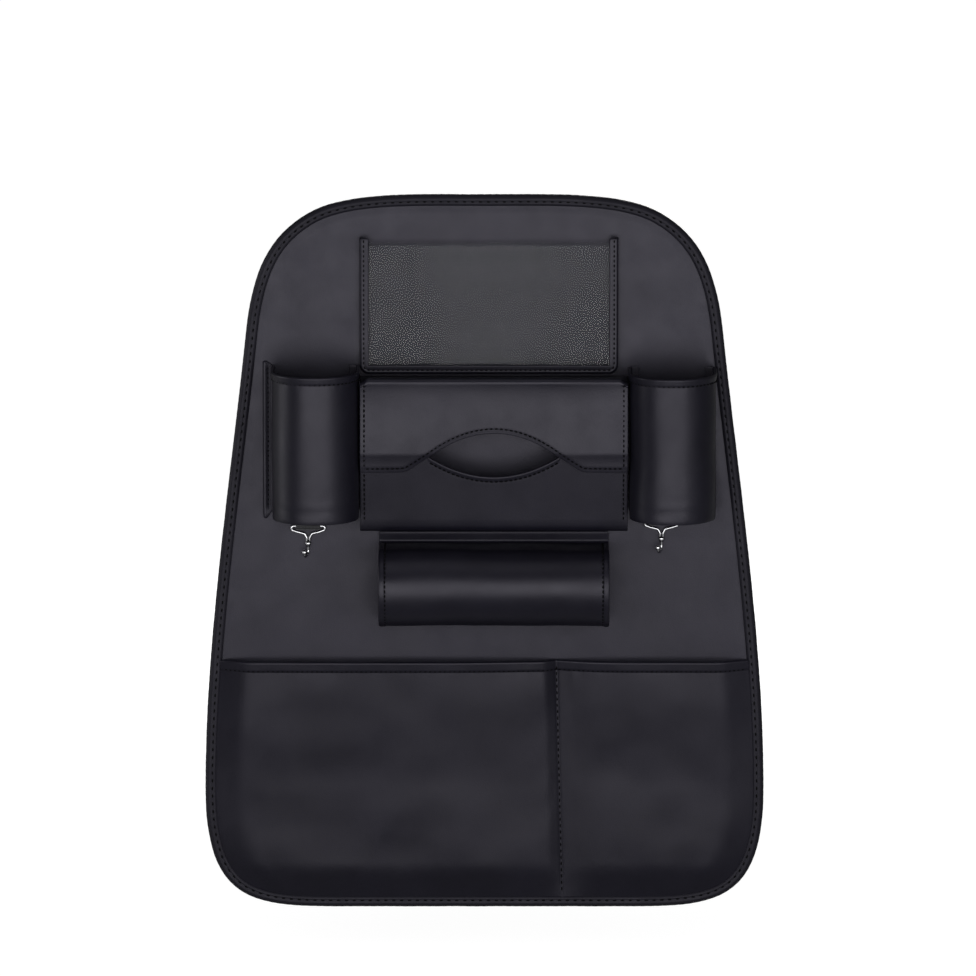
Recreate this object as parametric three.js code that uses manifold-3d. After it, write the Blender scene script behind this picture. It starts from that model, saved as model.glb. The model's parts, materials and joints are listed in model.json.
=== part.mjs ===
// Hanging car organizer: a flat stiffened leather panel with sewn pockets on its front
// and two strap loops with buckles on its back.
// Millimetres, +Z up. X runs to the right seen from the front, and the front faces -Y.
// Heights are measured up from the panel's bottom edge, sideways places from its centre line,
// and depths forward from the front face of the panel.
import * as THREE from 'three';
import { mergeVertices } from 'three/addons/utils/BufferGeometryUtils.js';
import Module from 'manifold-3d';

const wasm = await Module();
wasm.setup();

// Panel and layers
const panelWidth = 480;
const panelHeight = 620;
const referenceHeight = 330;
const leather = 1.4;
const liningThickness = 1.0;
const boardThickness = 2.4;
const boardInset = 16;
const plainWidth = 240;
const plainAbove = 40;
const plainBelow = 76;
const filmThickness = 0.5;
const seamGap = 0.3;

// Outline of the panel: a flat crown, sloping shoulders, nearly straight sides, round bottom corners
const crownReach = 59;
const shoulderInset = 89.4;
const shoulderDrop = 16.6;
const shoulderFall = 30.6;
const shoulderReachIn = 37.6;
const shoulderReachOut = 36.6;
const armInset = 36.2;
const armDrop = 120.1;
const armFall = 84;
const armReachIn = 57.3;
const armReachOut = 120;
const widestHeight = 102.7;
const widestReachUp = 130;
const widestReachDown = 104;
const footInset = 124.4;
const footReach = 79.3;

// Edge binding
const bindingWidth = 9.2;
const bindingCrown = 0.4;

// Screen pocket: a leather frame with a clear window, open at the top
const screenCentre = 3.8;
const screenWidth = 220.5;
const screenBottom = 466.5;
const screenTop = 583;
const screenDepth = 9.5;
const screenStrip = 7;
const screenCorner = 8;
const windowShort = 3;

// Round drink pockets
const leftPocketCentre = -143.9;
const rightPocketCentre = 160.4;
const drinkRadius = 36.3;
const drinkBottom = 347.5;
const drinkTop = 467;
const drinkFlange = 7.5;
const drinkFlangeTip = 4.5;
const drinkTurnIn = 7;
const drinkBend = 2.5;
const drinkHem = 6;
const drinkBaseThickness = 2;

// Box pocket: a flap folded down over a tray, with an eye-shaped opening between them
const boxCentre = 8;
const boxWidth = 227;
const boxTop = 464;
const boxBottom = 338;
const flapDepth = 49;
const flapEdgeDepth = 46.4;
const flapFold = 5;
const flapEdge = 388;
const flapCrease = 404;
const flapCreaseBand = 4;
const trayDepth = 42.5;
const trayFold = 6;
const trayEdge = 404;
const boxSeamTurn = 12;
const eyeWidth = 114;
const eyeSlopeWidth = 18;
const eyeEndHeight = 400.5;
const eyeTop = 422;
const eyeBottom = 382;
const tapeWidth = 22;
const tapeHeight = 10;
const tapeThickness = 0.8;
const tapeOut = 96;
const tapeHeightAt = 396;

// Roll sleeve: a leather tube held along its top and bottom seams, open at both ends
const sleeveLeft = -89.5;
const sleeveRight = 105.5;
const sleeveRadius = 32.5;
const sleeveHeight = 287;
const sleeveSeam = 10;
const sleeveBend = 3;
const sleeveHem = 6;
const hemExtra = 0.8;

// Lower pockets: one sheet sewn to the panel round its sides and along a dividing seam
const lowerTop = 216;
const lowerHem = 7;
const lowerBulge = 11;
const lowerMouthBulge = 8;
const lowerRise = 24;
const dividerRise = 10;
const dividerSeam = 3;
const dividerTop = 61.5;
const dividerBottom = 67;

// Accessory hooks on webbing tabs below the drink pockets
const leftHookCentre = -150.9;
const rightHookCentre = 151.5;
const leftHookHeight = 334;
const rightHookHeight = 338;
const wireRadius = 1.3;
const hookLoopWidth = 33;
const hookEarDrop = 3.6;
const hookLoopDrop = 10.5;
const hookStemDrop = 21;
const hookCurlRadius = 4.6;
const hookBallRadius = 2.2;
const hookCornerRadius = 2.5;
const tabWidth = 20;

// Straps and buckles on the back
const webThickness = 1.6;
const webWidth = 25;
const webBend = 8;
const upperStrapDrop = 36;
const upperStrapReach = 90;
const upperStrapDepth = 46;
const lowerStrapHeight = 135;
const lowerStrapReach = 205;
const lowerStrapDepth = 13;
const lowerStrapRamp = 60;
const anchorLength = 28;
const tailLength = 26;
const buckleMargin = 4;
const socketLength = 36;
const socketThickness = 11;
const socketWall = 2.6;
const socketCavity = 21;
const plugLength = 13;
const plugThickness = 9;
const pinLength = 17;
const guideWidth = 6;
const pinWidth = 4;
const barbLength = 7;
const barLength = 3;
const barThickness = 5;
const buckleCorner = 4;
const runningGap = 0.4;

// Layer faces, back to front
const boardBack = -liningThickness - seamGap;
const panelBack = boardBack - boardThickness - seamGap;
const panelFront = panelBack - leather;
const half = leather / 2;
const sewnDepth = seamGap + half;

const v2 = (x, y) => new THREE.Vector2(x, y);
const v3 = (x, y, z) => new THREE.Vector3(x, y, z);
const ahead = (depth) => panelFront - depth;
const degrees = THREE.MathUtils.degToRad;
const mix = THREE.MathUtils.lerp;

// Finishes
const finish = (color, roughness, metalness = 0, extra = {}) =>
  new THREE.MeshStandardMaterial({ color, roughness, metalness, ...extra });
const leatherFinish = finish(0x1d1d22, 0.5);
const bindingFinish = finish(0x17171b, 0.45);
const liningFinish = finish(0x202024, 0.95);
const boardFinish = finish(0x6d6a62, 0.9);
const filmFinish = finish(0xdfe6ea, 0.08, 0, { transparent: true, opacity: 0.25 });
const webbingFinish = finish(0x141416, 0.85);
const plasticFinish = finish(0x18181a, 0.55);
const chromeFinish = finish(0xc9ccd2, 0.14, 1);
const tapeFinish = finish(0x101012, 0.95);

const organizer = new THREE.Group();
organizer.position.z = -referenceHeight;

function place(name, geometry, material, parent = organizer) {
  const mesh = new THREE.Mesh(geometry, material);
  mesh.name = name;
  parent.add(mesh);
  return mesh;
}

// A closed geometry from points and quads, turned so that its faces point outward
function closedGeometry(points, quads) {
  const triangles = quads.flatMap(([a, b, c, d]) => [[a, b, c], [a, c, d]]);
  const volume = triangles.reduce((sum, [a, b, c]) =>
    sum + points[a].dot(points[b].clone().cross(points[c])), 0);
  const ordered = volume < 0 ? triangles.map(([a, b, c]) => [a, c, b]) : triangles;
  const geometry = new THREE.BufferGeometry().setFromPoints(points);
  geometry.setIndex(ordered.flat());
  return geometry;
}

// A sheet with thickness from two matching grids of points, its outer and its inner face
function shell(outer, inner) {
  const rows = outer.length;
  const columns = outer[0].length;
  const at = (side, i, j) => (side * rows + i) * columns + j;
  const quads = [];
  for (let i = 0; i < rows - 1; i += 1) {
    for (let j = 0; j < columns - 1; j += 1) {
      quads.push([at(0, i, j), at(0, i, j + 1), at(0, i + 1, j + 1), at(0, i + 1, j)]);
      quads.push([at(1, i + 1, j), at(1, i + 1, j + 1), at(1, i, j + 1), at(1, i, j)]);
    }
  }
  const rim = [];
  for (let j = 0; j < columns - 1; j += 1) rim.push([0, j]);
  for (let i = 0; i < rows - 1; i += 1) rim.push([i, columns - 1]);
  for (let j = columns - 1; j > 0; j -= 1) rim.push([rows - 1, j]);
  for (let i = rows - 1; i > 0; i -= 1) rim.push([i, 0]);
  rim.forEach(([i, j], k) => {
    const [p, q] = rim[(k + 1) % rim.length];
    quads.push([at(0, p, q), at(0, i, j), at(1, i, j), at(1, p, q)]);
  });
  return closedGeometry([...outer.flat(), ...inner.flat()], quads);
}

// A closed ring swept through sections that each have the same number of points
function ring(sections) {
  const count = sections[0].length;
  const at = (i, j) => (i % sections.length) * count + (j % count);
  const quads = sections.flatMap((section, i) =>
    section.map((_, j) => [at(i, j), at(i, j + 1), at(i + 1, j + 1), at(i + 1, j)]));
  return closedGeometry(sections.flat(), quads);
}

// A polyline through corners [x, y, radius], each corner rounded to its radius
function bentPath(corners, step = 22.5) {
  const points = [];
  const push = (point) => {
    const last = points[points.length - 1];
    if (!last || last.distanceTo(point) > 1e-4) points.push(point);
  };
  corners.forEach(([x, y, radius = 0], k) => {
    const here = v2(x, y);
    if (radius === 0) {
      push(here);
      return;
    }
    const incoming = here.clone().sub(v2(...corners[k - 1])).normalize();
    const outgoing = v2(...corners[k + 1]).sub(here).normalize();
    const turn = Math.acos(THREE.MathUtils.clamp(incoming.dot(outgoing), -1, 1));
    const reach = radius * Math.tan(turn / 2);
    const sense = Math.sign(incoming.cross(outgoing));
    const start = here.clone().addScaledVector(incoming, -reach);
    const centre = start.clone().add(v2(-incoming.y, incoming.x).multiplyScalar(sense * radius));
    const steps = Math.max(1, Math.round(turn / degrees(step)));
    for (let s = 0; s <= steps; s += 1) {
      push(start.clone().rotateAround(centre, sense * turn * s / steps));
    }
  });
  return points;
}

// The same polyline moved sideways, to the left of its direction for a positive distance
function offsetPath(points, distance) {
  return points.map((point, k) => {
    const before = points[Math.max(k - 1, 0)];
    const after = points[Math.min(k + 1, points.length - 1)];
    const incoming = (k === 0 ? after.clone().sub(point) : point.clone().sub(before)).normalize();
    const outgoing = (k === points.length - 1 ? incoming : after.clone().sub(point)).clone().normalize();
    const along = incoming.clone().add(outgoing).normalize();
    const mitre = distance / Math.max(along.dot(incoming), 0.5);
    return v2(point.x - along.y * mitre, point.y + along.x * mitre);
  });
}

// The outer face of a leather path, thickened by a hem where it stands clear of the panel
function hemmedFace(path, extra, depthOf) {
  const plain = offsetPath(path, half);
  const thick = offsetPath(path, half + extra);
  return path.map((point, k) => (depthOf(point.toArray()) > sewnDepth + half ? thick[k] : plain[k]));
}

// A strip bent in plan (x, y) with a constant height
function planStrip(path, thickness, bottom, top) {
  const left = offsetPath(path, thickness / 2);
  const right = offsetPath(path, -thickness / 2);
  const row = (points, z) => points.map((p) => v3(p.x, p.y, z));
  return shell([row(left, bottom), row(left, top)], [row(right, bottom), row(right, top)]);
}

// A flat plate lying against a plane of constant y, drawn in x and z
function plate(shape, back, thickness, curveSegments = 8) {
  const geometry = new THREE.ExtrudeGeometry(shape, { depth: thickness, bevelEnabled: false, curveSegments });
  return geometry.rotateX(Math.PI / 2).translate(0, back, 0);
}

// A rectangle with rounded corners
function roundedRectangle(left, bottom, right, top, radius) {
  const shape = new THREE.Shape();
  shape.moveTo(left + radius, bottom);
  shape.lineTo(right - radius, bottom);
  shape.absarc(right - radius, bottom + radius, radius, -Math.PI / 2, 0);
  shape.lineTo(right, top - radius);
  shape.absarc(right - radius, top - radius, radius, 0, Math.PI / 2);
  shape.lineTo(left + radius, top);
  shape.absarc(left + radius, top - radius, radius, Math.PI / 2, Math.PI);
  shape.lineTo(left, bottom + radius);
  shape.absarc(left + radius, bottom + radius, radius, Math.PI, Math.PI * 1.5);
  return shape;
}

// Joining and cutting of closed pieces
function toSolid(geometry) {
  const bare = geometry.clone();
  bare.deleteAttribute('normal');
  bare.deleteAttribute('uv');
  const merged = mergeVertices(bare, 1e-4);
  return new wasm.Manifold(new wasm.Mesh({
    numProp: 3,
    vertProperties: Float32Array.from(merged.attributes.position.array),
    triVerts: Uint32Array.from(merged.index.array),
  }));
}

function fromSolid(solid) {
  const mesh = solid.getMesh();
  const geometry = new THREE.BufferGeometry();
  geometry.setAttribute('position', new THREE.BufferAttribute(mesh.vertProperties, 3));
  geometry.setIndex(Array.from(mesh.triVerts));
  return geometry;
}

function join(pieces) {
  return fromSolid(pieces.map(toSolid).reduce((whole, piece) => whole.add(piece)));
}

function cut(body, tools) {
  return fromSolid(tools.map(toSolid).reduce((whole, tool) => whole.subtract(tool), toSolid(body)));
}

function block(x0, x1, y0, y1, z0, z1) {
  const geometry = new THREE.BoxGeometry(x1 - x0, y1 - y0, z1 - z0);
  return geometry.translate((x0 + x1) / 2, (y0 + y1) / 2, (z0 + z1) / 2);
}

// Panel outline
function outlinePoints() {
  const side = panelWidth / 2;
  const shoulder = v2(side - shoulderInset, panelHeight - shoulderDrop);
  const shoulderWay = v2(Math.cos(degrees(shoulderFall)), -Math.sin(degrees(shoulderFall)));
  const arm = v2(side - armInset, panelHeight - armDrop);
  const armWay = v2(Math.cos(degrees(armFall)), -Math.sin(degrees(armFall)));
  const footX = side - footInset;
  const step = (from, way, reach) => from.clone().addScaledVector(way, reach).toArray();
  const path = new THREE.Path();
  path.moveTo(0, panelHeight);
  path.bezierCurveTo(crownReach, panelHeight, ...step(shoulder, shoulderWay, -shoulderReachIn), ...shoulder);
  path.bezierCurveTo(...step(shoulder, shoulderWay, shoulderReachOut), ...step(arm, armWay, -armReachIn), ...arm);
  path.bezierCurveTo(...step(arm, armWay, armReachOut), side, widestHeight + widestReachUp, side, widestHeight);
  path.bezierCurveTo(side, widestHeight - widestReachDown, footX + footReach, 0, footX, 0);
  return path.getPoints(10);
}

// The whole outline as a closed loop, moved inward by a distance
const rightSide = outlinePoints();
const leftSide = rightSide.slice(1).reverse().map((p) => v2(-p.x, p.y));
const outlineLoop = [...rightSide, ...leftSide];

function inwardAt(k) {
  const count = outlineLoop.length;
  const before = outlineLoop[(k + count - 1) % count];
  const after = outlineLoop[(k + 1) % count];
  const way = after.clone().sub(before).normalize();
  return v2(way.y, -way.x);
}

function insetLoop(distance) {
  return outlineLoop.map((point, k) => point.clone().addScaledVector(inwardAt(k), distance));
}

// Front panel, stiffener and lining
function makeLayers() {
  const sewnInset = leather + seamGap;
  const panelShape = new THREE.Shape(insetLoop(sewnInset));
  place('front_panel', plate(panelShape, panelBack, leather), leatherFinish);
  const boardShape = new THREE.Shape(insetLoop(boardInset));
  place('stiffener_board', plate(boardShape, boardBack, boardThickness), boardFinish);
  place('back_lining', liningGeometry(insetLoop(sewnInset)), liningFinish);
}

// The lining's plate, with a plain flat rectangle kept whole in the middle of its back
function liningGeometry(loop) {
  const rest = [
    v2(-plainWidth / 2, referenceHeight - plainBelow),
    v2(-plainWidth / 2, referenceHeight + plainAbove),
    v2(plainWidth / 2, referenceHeight + plainAbove),
    v2(plainWidth / 2, referenceHeight - plainBelow),
  ];
  const count = loop.length;
  const flat = THREE.ShapeUtils.triangulateShape(loop, [rest]);
  const inner = THREE.ShapeUtils.triangulateShape(rest, []).map((t) => t.map((k) => k + count));
  const face = [...loop, ...rest];
  const points = [0, -liningThickness].flatMap((y) => face.map((p) => v3(p.x, y, p.y)));
  const front = face.length;
  const quads = [];
  const way = ([a, b, c]) => Math.sign(face[b].clone().sub(face[a]).cross(face[c].clone().sub(face[a])));
  [...flat, ...inner].forEach((triangle) => {
    const [a, b, c] = way(triangle) > 0 ? triangle : [...triangle].reverse();
    quads.push([c, b, a, a], [a + front, b + front, c + front, c + front]);
  });
  loop.forEach((_, k) => {
    const next = (k + 1) % count;
    quads.push([next, k, k + front, next + front]);
  });
  return quadsWithoutSlivers(points, quads);
}

function quadsWithoutSlivers(points, quads) {
  const geometry = closedGeometry(points, quads);
  const index = Array.from(geometry.index.array);
  const kept = [];
  for (let k = 0; k < index.length; k += 3) {
    const triangle = index.slice(k, k + 3);
    if (new Set(triangle).size === 3) kept.push(...triangle);
  }
  geometry.setIndex(kept);
  return geometry;
}

// Edge binding: a leather strip folded over the raw edge of all layers
function makeBinding() {
  const front = panelFront - seamGap;
  const back = seamGap;
  const middle = (front + back) / 2;
  const section = [
    [bindingWidth, front],
    [bindingWidth, front - leather],
    [bindingWidth * 0.55, front - leather - bindingCrown],
    [leather, front - leather * 0.85],
    [leather * 0.25, front * 0.9],
    [0, middle],
    [leather * 0.25, back - leather * 0.2],
    [leather, back + leather * 0.85],
    [bindingWidth * 0.55, back + leather + bindingCrown],
    [bindingWidth, back + leather],
    [bindingWidth, back],
    [leather, back],
    [leather, front],
  ];
  const sections = outlineLoop.map((point, k) => section.map(([inward, y]) => {
    const p = point.clone().addScaledVector(inwardAt(k), inward);
    return v3(p.x, y, p.y);
  }));
  place('edge_binding', ring(sections), bindingFinish);
}

// Screen pocket
function makeScreenPocket() {
  const left = screenCentre - screenWidth / 2;
  const right = screenCentre + screenWidth / 2;
  const above = screenTop + screenCorner * 2;
  const area = (inset, radius) => roundedRectangle(
    left + inset, screenBottom + inset, right - inset, above, Math.max(radius - inset, 1));
  const frontStart = ahead(screenDepth - leather);
  const rail = plate(area(0, screenCorner), ahead(seamGap), screenDepth - seamGap);
  const frame = cut(rail, [
    plate(area(leather, screenCorner), ahead(-1), screenDepth - leather + 1),
    plate(area(screenStrip, screenCorner), ahead(-1), screenDepth + 2),
    block(left - 1, right + 1, ahead(screenDepth + 1), ahead(-1), screenTop, above + 1),
  ]);
  place('screen_pocket_frame', frame, leatherFinish);
  const film = roundedRectangle(
    left + leather + seamGap, screenBottom + leather + seamGap,
    right - leather - seamGap, screenTop - windowShort, screenCorner - leather);
  place('screen_pocket_window', plate(film, frontStart + seamGap + filmThickness, filmThickness), filmFinish);
}

// Round drink pocket: a wall bent to a U. Its right edge is turned in and sewn to the panel,
// and its left edge is a flange outside the wall, or is turned in too where the flange is 0.
function makeDrinkPocket(side, centre, flange) {
  const mid = drinkRadius - half;
  const centreDepth = drinkRadius + seamGap;
  const path = bentPath([
    [flange > 0 ? -drinkRadius - flange : drinkTurnIn - mid, sewnDepth],
    [-mid, sewnDepth, drinkBend],
    [-mid, centreDepth + mid, mid],
    [mid, centreDepth + mid, mid],
    [mid, sewnDepth, drinkBend],
    [mid - drinkTurnIn, sewnDepth],
  ], 15);
  const rows = [
    [drinkBottom, 0],
    [drinkTop - drinkHem - hemExtra, 0],
    [drinkTop - drinkHem, hemExtra],
    [drinkTop, hemExtra],
  ];
  const tipAt = (x, z) => (z === drinkTop && x < -drinkRadius ? drinkFlangeTip : 0);
  const row = (points, z) => points
    .map((p, k) => v3(centre + p.x, ahead(p.y), z + tipAt(path[k].x, z)));
  const outer = rows.map(([z, extra]) => row(hemmedFace(path, extra, ([, depth]) => depth), z));
  const inner = rows.map(([z]) => row(offsetPath(path, -half), z));
  place(`${side}_drink_pocket_wall`, shell(outer, inner), leatherFinish);

  const inside = drinkRadius - leather - seamGap;
  const back = seamGap * 2 + leather;
  const base = new THREE.Shape(bentPath([
    [0, back],
    [inside, back, drinkBend],
    [inside, centreDepth + inside, inside],
    [-inside, centreDepth + inside, inside],
    [-inside, back, drinkBend],
    [-drinkRadius / 4, back],
  ], 15).map((p) => v2(centre + p.x, -ahead(p.y))));
  const disc = new THREE.ExtrudeGeometry(base, { depth: drinkBaseThickness, bevelEnabled: false });
  disc.rotateX(Math.PI).translate(0, 0, drinkBottom + drinkBaseThickness + seamGap);
  place(`${side}_drink_pocket_base`, disc, leatherFinish);
}

// Box pocket edges, as heights at a distance from the pocket's middle
function flapEdgeAt(offset) {
  const out = Math.abs(offset);
  const eye = eyeWidth / 2;
  if (out >= eye + eyeSlopeWidth) return flapEdge;
  if (out >= eye) return mix(eyeEndHeight, flapEdge, (out - eye) / eyeSlopeWidth);
  return mix(eyeTop, eyeEndHeight, (out / eye) ** 2);
}

function trayEdgeAt(offset) {
  const out = Math.abs(offset);
  const eye = eyeWidth / 2;
  return out >= eye ? trayEdge : mix(eyeBottom, eyeEndHeight, (out / eye) ** 2);
}

// Places across the box pocket, closer together along the eye
function boxColumns() {
  const eye = eyeWidth / 2;
  const end = boxWidth / 2;
  const across = [0, 0.2, 0.4, 0.6, 0.8, 0.92, 1].map((share) => share * eye);
  across.push(eye + seamGap, eye + eyeSlopeWidth, end);
  return [...across.slice(1).reverse().map((x) => -x), ...across];
}

function flapDepthAt(height) {
  if (height >= flapCrease) return flapDepth;
  const creaseEnd = flapCrease - flapCreaseBand;
  const bandDepth = mix(flapDepth, flapEdgeDepth, 0.75);
  if (height >= creaseEnd) return mix(flapDepth, bandDepth, (flapCrease - height) / flapCreaseBand);
  return mix(bandDepth, flapEdgeDepth, (creaseEnd - height) / (creaseEnd - flapEdge));
}

function boxSheet(pathAt) {
  const columns = boxColumns();
  const faces = [half, -half].map((distance) => {
    const sides = columns.map((offset) => offsetPath(pathAt(offset), distance)
      .map((p) => v3(boxCentre + offset, ahead(p.x), p.y)));
    return sides[0].map((_, row) => sides.map((side) => side[row]));
  });
  return shell(faces[0], faces[1]);
}

function makeBoxPocket() {
  const topMid = boxTop - half;
  const frontTop = boxTop - flapFold * 2;
  const flapOver = bentPath([
    [sewnDepth, boxTop - boxSeamTurn],
    [sewnDepth, topMid, 2],
    [flapDepth - half, topMid, flapFold],
    [flapDepth - half, frontTop],
  ], 30);
  const lowRows = [
    mix(frontTop, flapCrease, 1 / 3),
    mix(frontTop, flapCrease, 2 / 3),
    flapCrease,
    flapCrease - flapCreaseBand,
    mix(flapCrease, flapEdge, 0.6),
    flapEdge,
  ];
  place('box_pocket_flap', boxSheet((offset) => {
    const share = (frontTop - flapEdgeAt(offset)) / (frontTop - flapEdge);
    const heights = lowRows.map((z) => frontTop - (frontTop - z) * share);
    return [...flapOver, ...heights.map((z) => v2(flapDepthAt(z) - half, z))];
  }), leatherFinish);

  const bottomMid = boxBottom + half;
  const frontBottom = boxBottom + trayFold * 2;
  const trayUnder = bentPath([
    [sewnDepth, boxBottom + boxSeamTurn],
    [sewnDepth, bottomMid, 2],
    [trayDepth - half, bottomMid, trayFold],
    [trayDepth - half, frontBottom],
  ], 30);
  place('box_pocket_tray', boxSheet((offset) => {
    const edge = trayEdgeAt(offset);
    const rise = [1 / 3, 2 / 3, 1].map((share) => v2(trayDepth - half, mix(frontBottom, edge, share)));
    return [...trayUnder, ...rise];
  }), leatherFinish);

  for (const [side, sign] of [['left', -1], ['right', 1]]) {
    const middle = boxCentre + sign * tapeOut;
    const tape = (depth) => block(
      middle - tapeWidth / 2, middle + tapeWidth / 2, ahead(depth + tapeThickness), ahead(depth),
      tapeHeightAt - tapeHeight / 2, tapeHeightAt + tapeHeight / 2);
    place(`${side}_flap_hook_tape`, tape(trayDepth + seamGap), tapeFinish);
    place(`${side}_flap_loop_tape`, tape(trayDepth + seamGap * 2 + tapeThickness), tapeFinish);
  }
}

// Roll sleeve
function makeSleeve() {
  const mid = sleeveRadius - half;
  const centreDepth = sleeveRadius + seamGap + half;
  const top = sleeveHeight + mid;
  const bottom = sleeveHeight - mid;
  const path = bentPath([
    [sewnDepth, top + sleeveSeam],
    [sewnDepth, top, sleeveBend],
    [centreDepth + mid, top, mid],
    [centreDepth + mid, bottom, mid],
    [sewnDepth, bottom, sleeveBend],
    [sewnDepth, bottom + sleeveSeam],
  ], 15);
  const rows = [
    [sleeveLeft, hemExtra],
    [sleeveLeft + sleeveHem, hemExtra],
    [sleeveLeft + sleeveHem + hemExtra, 0],
    [sleeveRight - sleeveHem - hemExtra, 0],
    [sleeveRight - sleeveHem, hemExtra],
    [sleeveRight, hemExtra],
  ];
  const row = (points, x) => points.map((p) => v3(x, ahead(p.x), p.y));
  const outer = rows.map(([x, extra]) => row(hemmedFace(path, extra, ([depth]) => depth), x));
  const inner = rows.map(([x]) => row(offsetPath(path, -half), x));
  place('roll_sleeve', shell(outer, inner), leatherFinish);
}

// Lower pocket sheet
const ease = (distance, run) => THREE.MathUtils.smoothstep(distance, 0, run);

function lowerSheetDepth(x, z, reach, foot) {
  const divider = mix(dividerBottom, dividerTop, z / lowerTop);
  const mouth = THREE.MathUtils.smoothstep(z, lowerTop / 2, lowerTop);
  const bulge = mix(lowerBulge, lowerMouthBulge, mouth);
  const sides = ease(reach - Math.abs(x), lowerRise) * ease(z - foot, lowerRise);
  return seamGap + bulge * sides * ease(Math.abs(x - divider) - dividerSeam / 2, dividerRise);
}

function makeLowerPockets() {
  const loop = insetLoop(bindingWidth + seamGap);
  const middle = rightSide.length - 1;
  const edge = loop.slice(0, middle + 1).filter((p) => p.y < lowerTop - lowerHem - 1).reverse();
  const foot = edge[0].y;
  const above = loop.slice(0, middle + 1).filter((p) => p.y >= lowerTop - lowerHem - 1).pop();
  const last = edge[edge.length - 1];
  const reachAt = (z) => mix(last.x, above.x, (z - last.y) / (above.y - last.y));
  const hemRows = [lowerTop - lowerHem - hemExtra, lowerTop - lowerHem, lowerTop];
  const rows = [...edge.filter((p) => p.x > 1), ...hemRows.map((z) => v2(reachAt(z), z))];
  const shares = [0, 0.25, 0.5, 0.75, 1];
  const columnsAt = (reach, z) => {
    const divider = mix(dividerBottom, dividerTop, z / lowerTop);
    const seam = dividerSeam / 2;
    return [
      ...shares.map((s) => s * lowerRise - reach),
      ...shares.map((s) => divider - seam - (1 - s) * dividerRise),
      ...shares.map((s) => divider + seam + s * dividerRise),
      ...shares.map((s) => reach - (1 - s) * lowerRise),
    ];
  };
  const face = (lift) => rows.map(({ x: reach, y: z }) => columnsAt(reach, z).map((x) => {
    const hem = lift > 0 && z > lowerTop - lowerHem - hemExtra / 2 ? hemExtra : 0;
    return v3(x, ahead(lowerSheetDepth(x, z, reach, foot) + lift + hem), z);
  }));
  place('lower_pocket_sheet', shell(face(leather), face(0)), leatherFinish);
}

// Accessory hook: a wire loop, a stem and a forward curl that ends in a ball
function hookGeometry() {
  const circle = new THREE.Shape().absarc(0, 0, wireRadius, 0, Math.PI * 2);
  const wire = (points, steps) => new THREE.ExtrudeGeometry(circle, {
    steps,
    curveSegments: 3,
    bevelEnabled: false,
    extrudePath: new THREE.CatmullRomCurve3(points, false, 'centripetal'),
  });
  const reach = hookLoopWidth / 2 - wireRadius;
  const loopHalf = bentPath([
    [0, 0],
    [reach, 0, hookCornerRadius],
    [reach - wireRadius, -hookEarDrop, hookCornerRadius / 2],
    [wireRadius * 0.6, -hookLoopDrop],
  ], 40);
  const side = (sign) => wire(loopHalf.map((p) => v3(sign * p.x, 0, p.y)), 9);
  const curl = bentPath([
    [0, -hookLoopDrop + wireRadius * 1.6],
    [0, -hookStemDrop - hookCurlRadius, hookCurlRadius],
    [-hookCurlRadius * 2, -hookStemDrop - hookCurlRadius, hookCurlRadius],
    [-hookCurlRadius * 2, -hookStemDrop],
  ], 30);
  const stem = wire(curl.map((p) => v3(0, p.x, p.y)), 12);
  const ball = new THREE.SphereGeometry(hookBallRadius, 8, 6);
  ball.translate(0, -hookCurlRadius * 2, -hookStemDrop);
  const bar = new THREE.CylinderGeometry(wireRadius, wireRadius, reach, 10).rotateZ(Math.PI / 2);
  return join([side(1), side(-1), bar, stem, ball]);
}

function makeHook(side, centre, height) {
  const eyeRadius = wireRadius + runningGap + webThickness / 2;
  const backLayer = seamGap + webThickness / 2;
  const pivotDepth = backLayer + eyeRadius;
  const frontLayer = backLayer + webThickness + seamGap;
  const tabTop = drinkBottom - seamGap;
  const tab = bentPath([
    [backLayer, tabTop],
    [backLayer, height - eyeRadius, eyeRadius],
    [pivotDepth + eyeRadius, height - eyeRadius, eyeRadius],
    [pivotDepth + eyeRadius, height + eyeRadius * 0.6, wireRadius / 2],
    [frontLayer, height + eyeRadius * 1.9, wireRadius / 2],
    [frontLayer, tabTop],
  ], 30);
  const faces = [webThickness / 2, -webThickness / 2].map((distance) =>
    [-1, 1].map((sign) => offsetPath(tab, distance)
      .map((p) => v3(centre + sign * tabWidth / 2, ahead(p.x), p.y))));
  place(`${side}_hook_tab`, shell(faces[0], faces[1]), webbingFinish);

  const lean = Math.asin((pivotDepth - wireRadius - seamGap) / (hookStemDrop + hookCurlRadius));
  const pivot = new THREE.Group();
  pivot.position.set(centre, ahead(pivotDepth), height);
  pivot.rotation.x = lean;
  organizer.add(pivot);
  place(`${side}_hook`, hookGeometry(), chromeFinish, pivot);
}

// Side-release buckle. Its mouth is at x = 0: the socket lies towards -x, the plug towards +x.
const buckleWidth = webWidth + buckleMargin * 2;
const slotLength = webThickness + runningGap * 4;

function barCuts(barEnd, inward) {
  const slotEnd = barEnd + inward * (barLength + slotLength);
  const barStart = barEnd + inward * barLength;
  const span = webWidth / 2 + runningGap;
  const [s0, s1] = [barStart, slotEnd].sort((a, b) => a - b);
  const [b0, b1] = [barEnd - inward, barStart].sort((a, b) => a - b);
  const deep = socketThickness;
  return [
    block(s0, s1, -deep, deep, -span, span),
    block(b0, b1, barThickness / 2, deep, -span, span),
    block(b0, b1, -deep, -barThickness / 2, -span, span),
  ];
}

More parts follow.
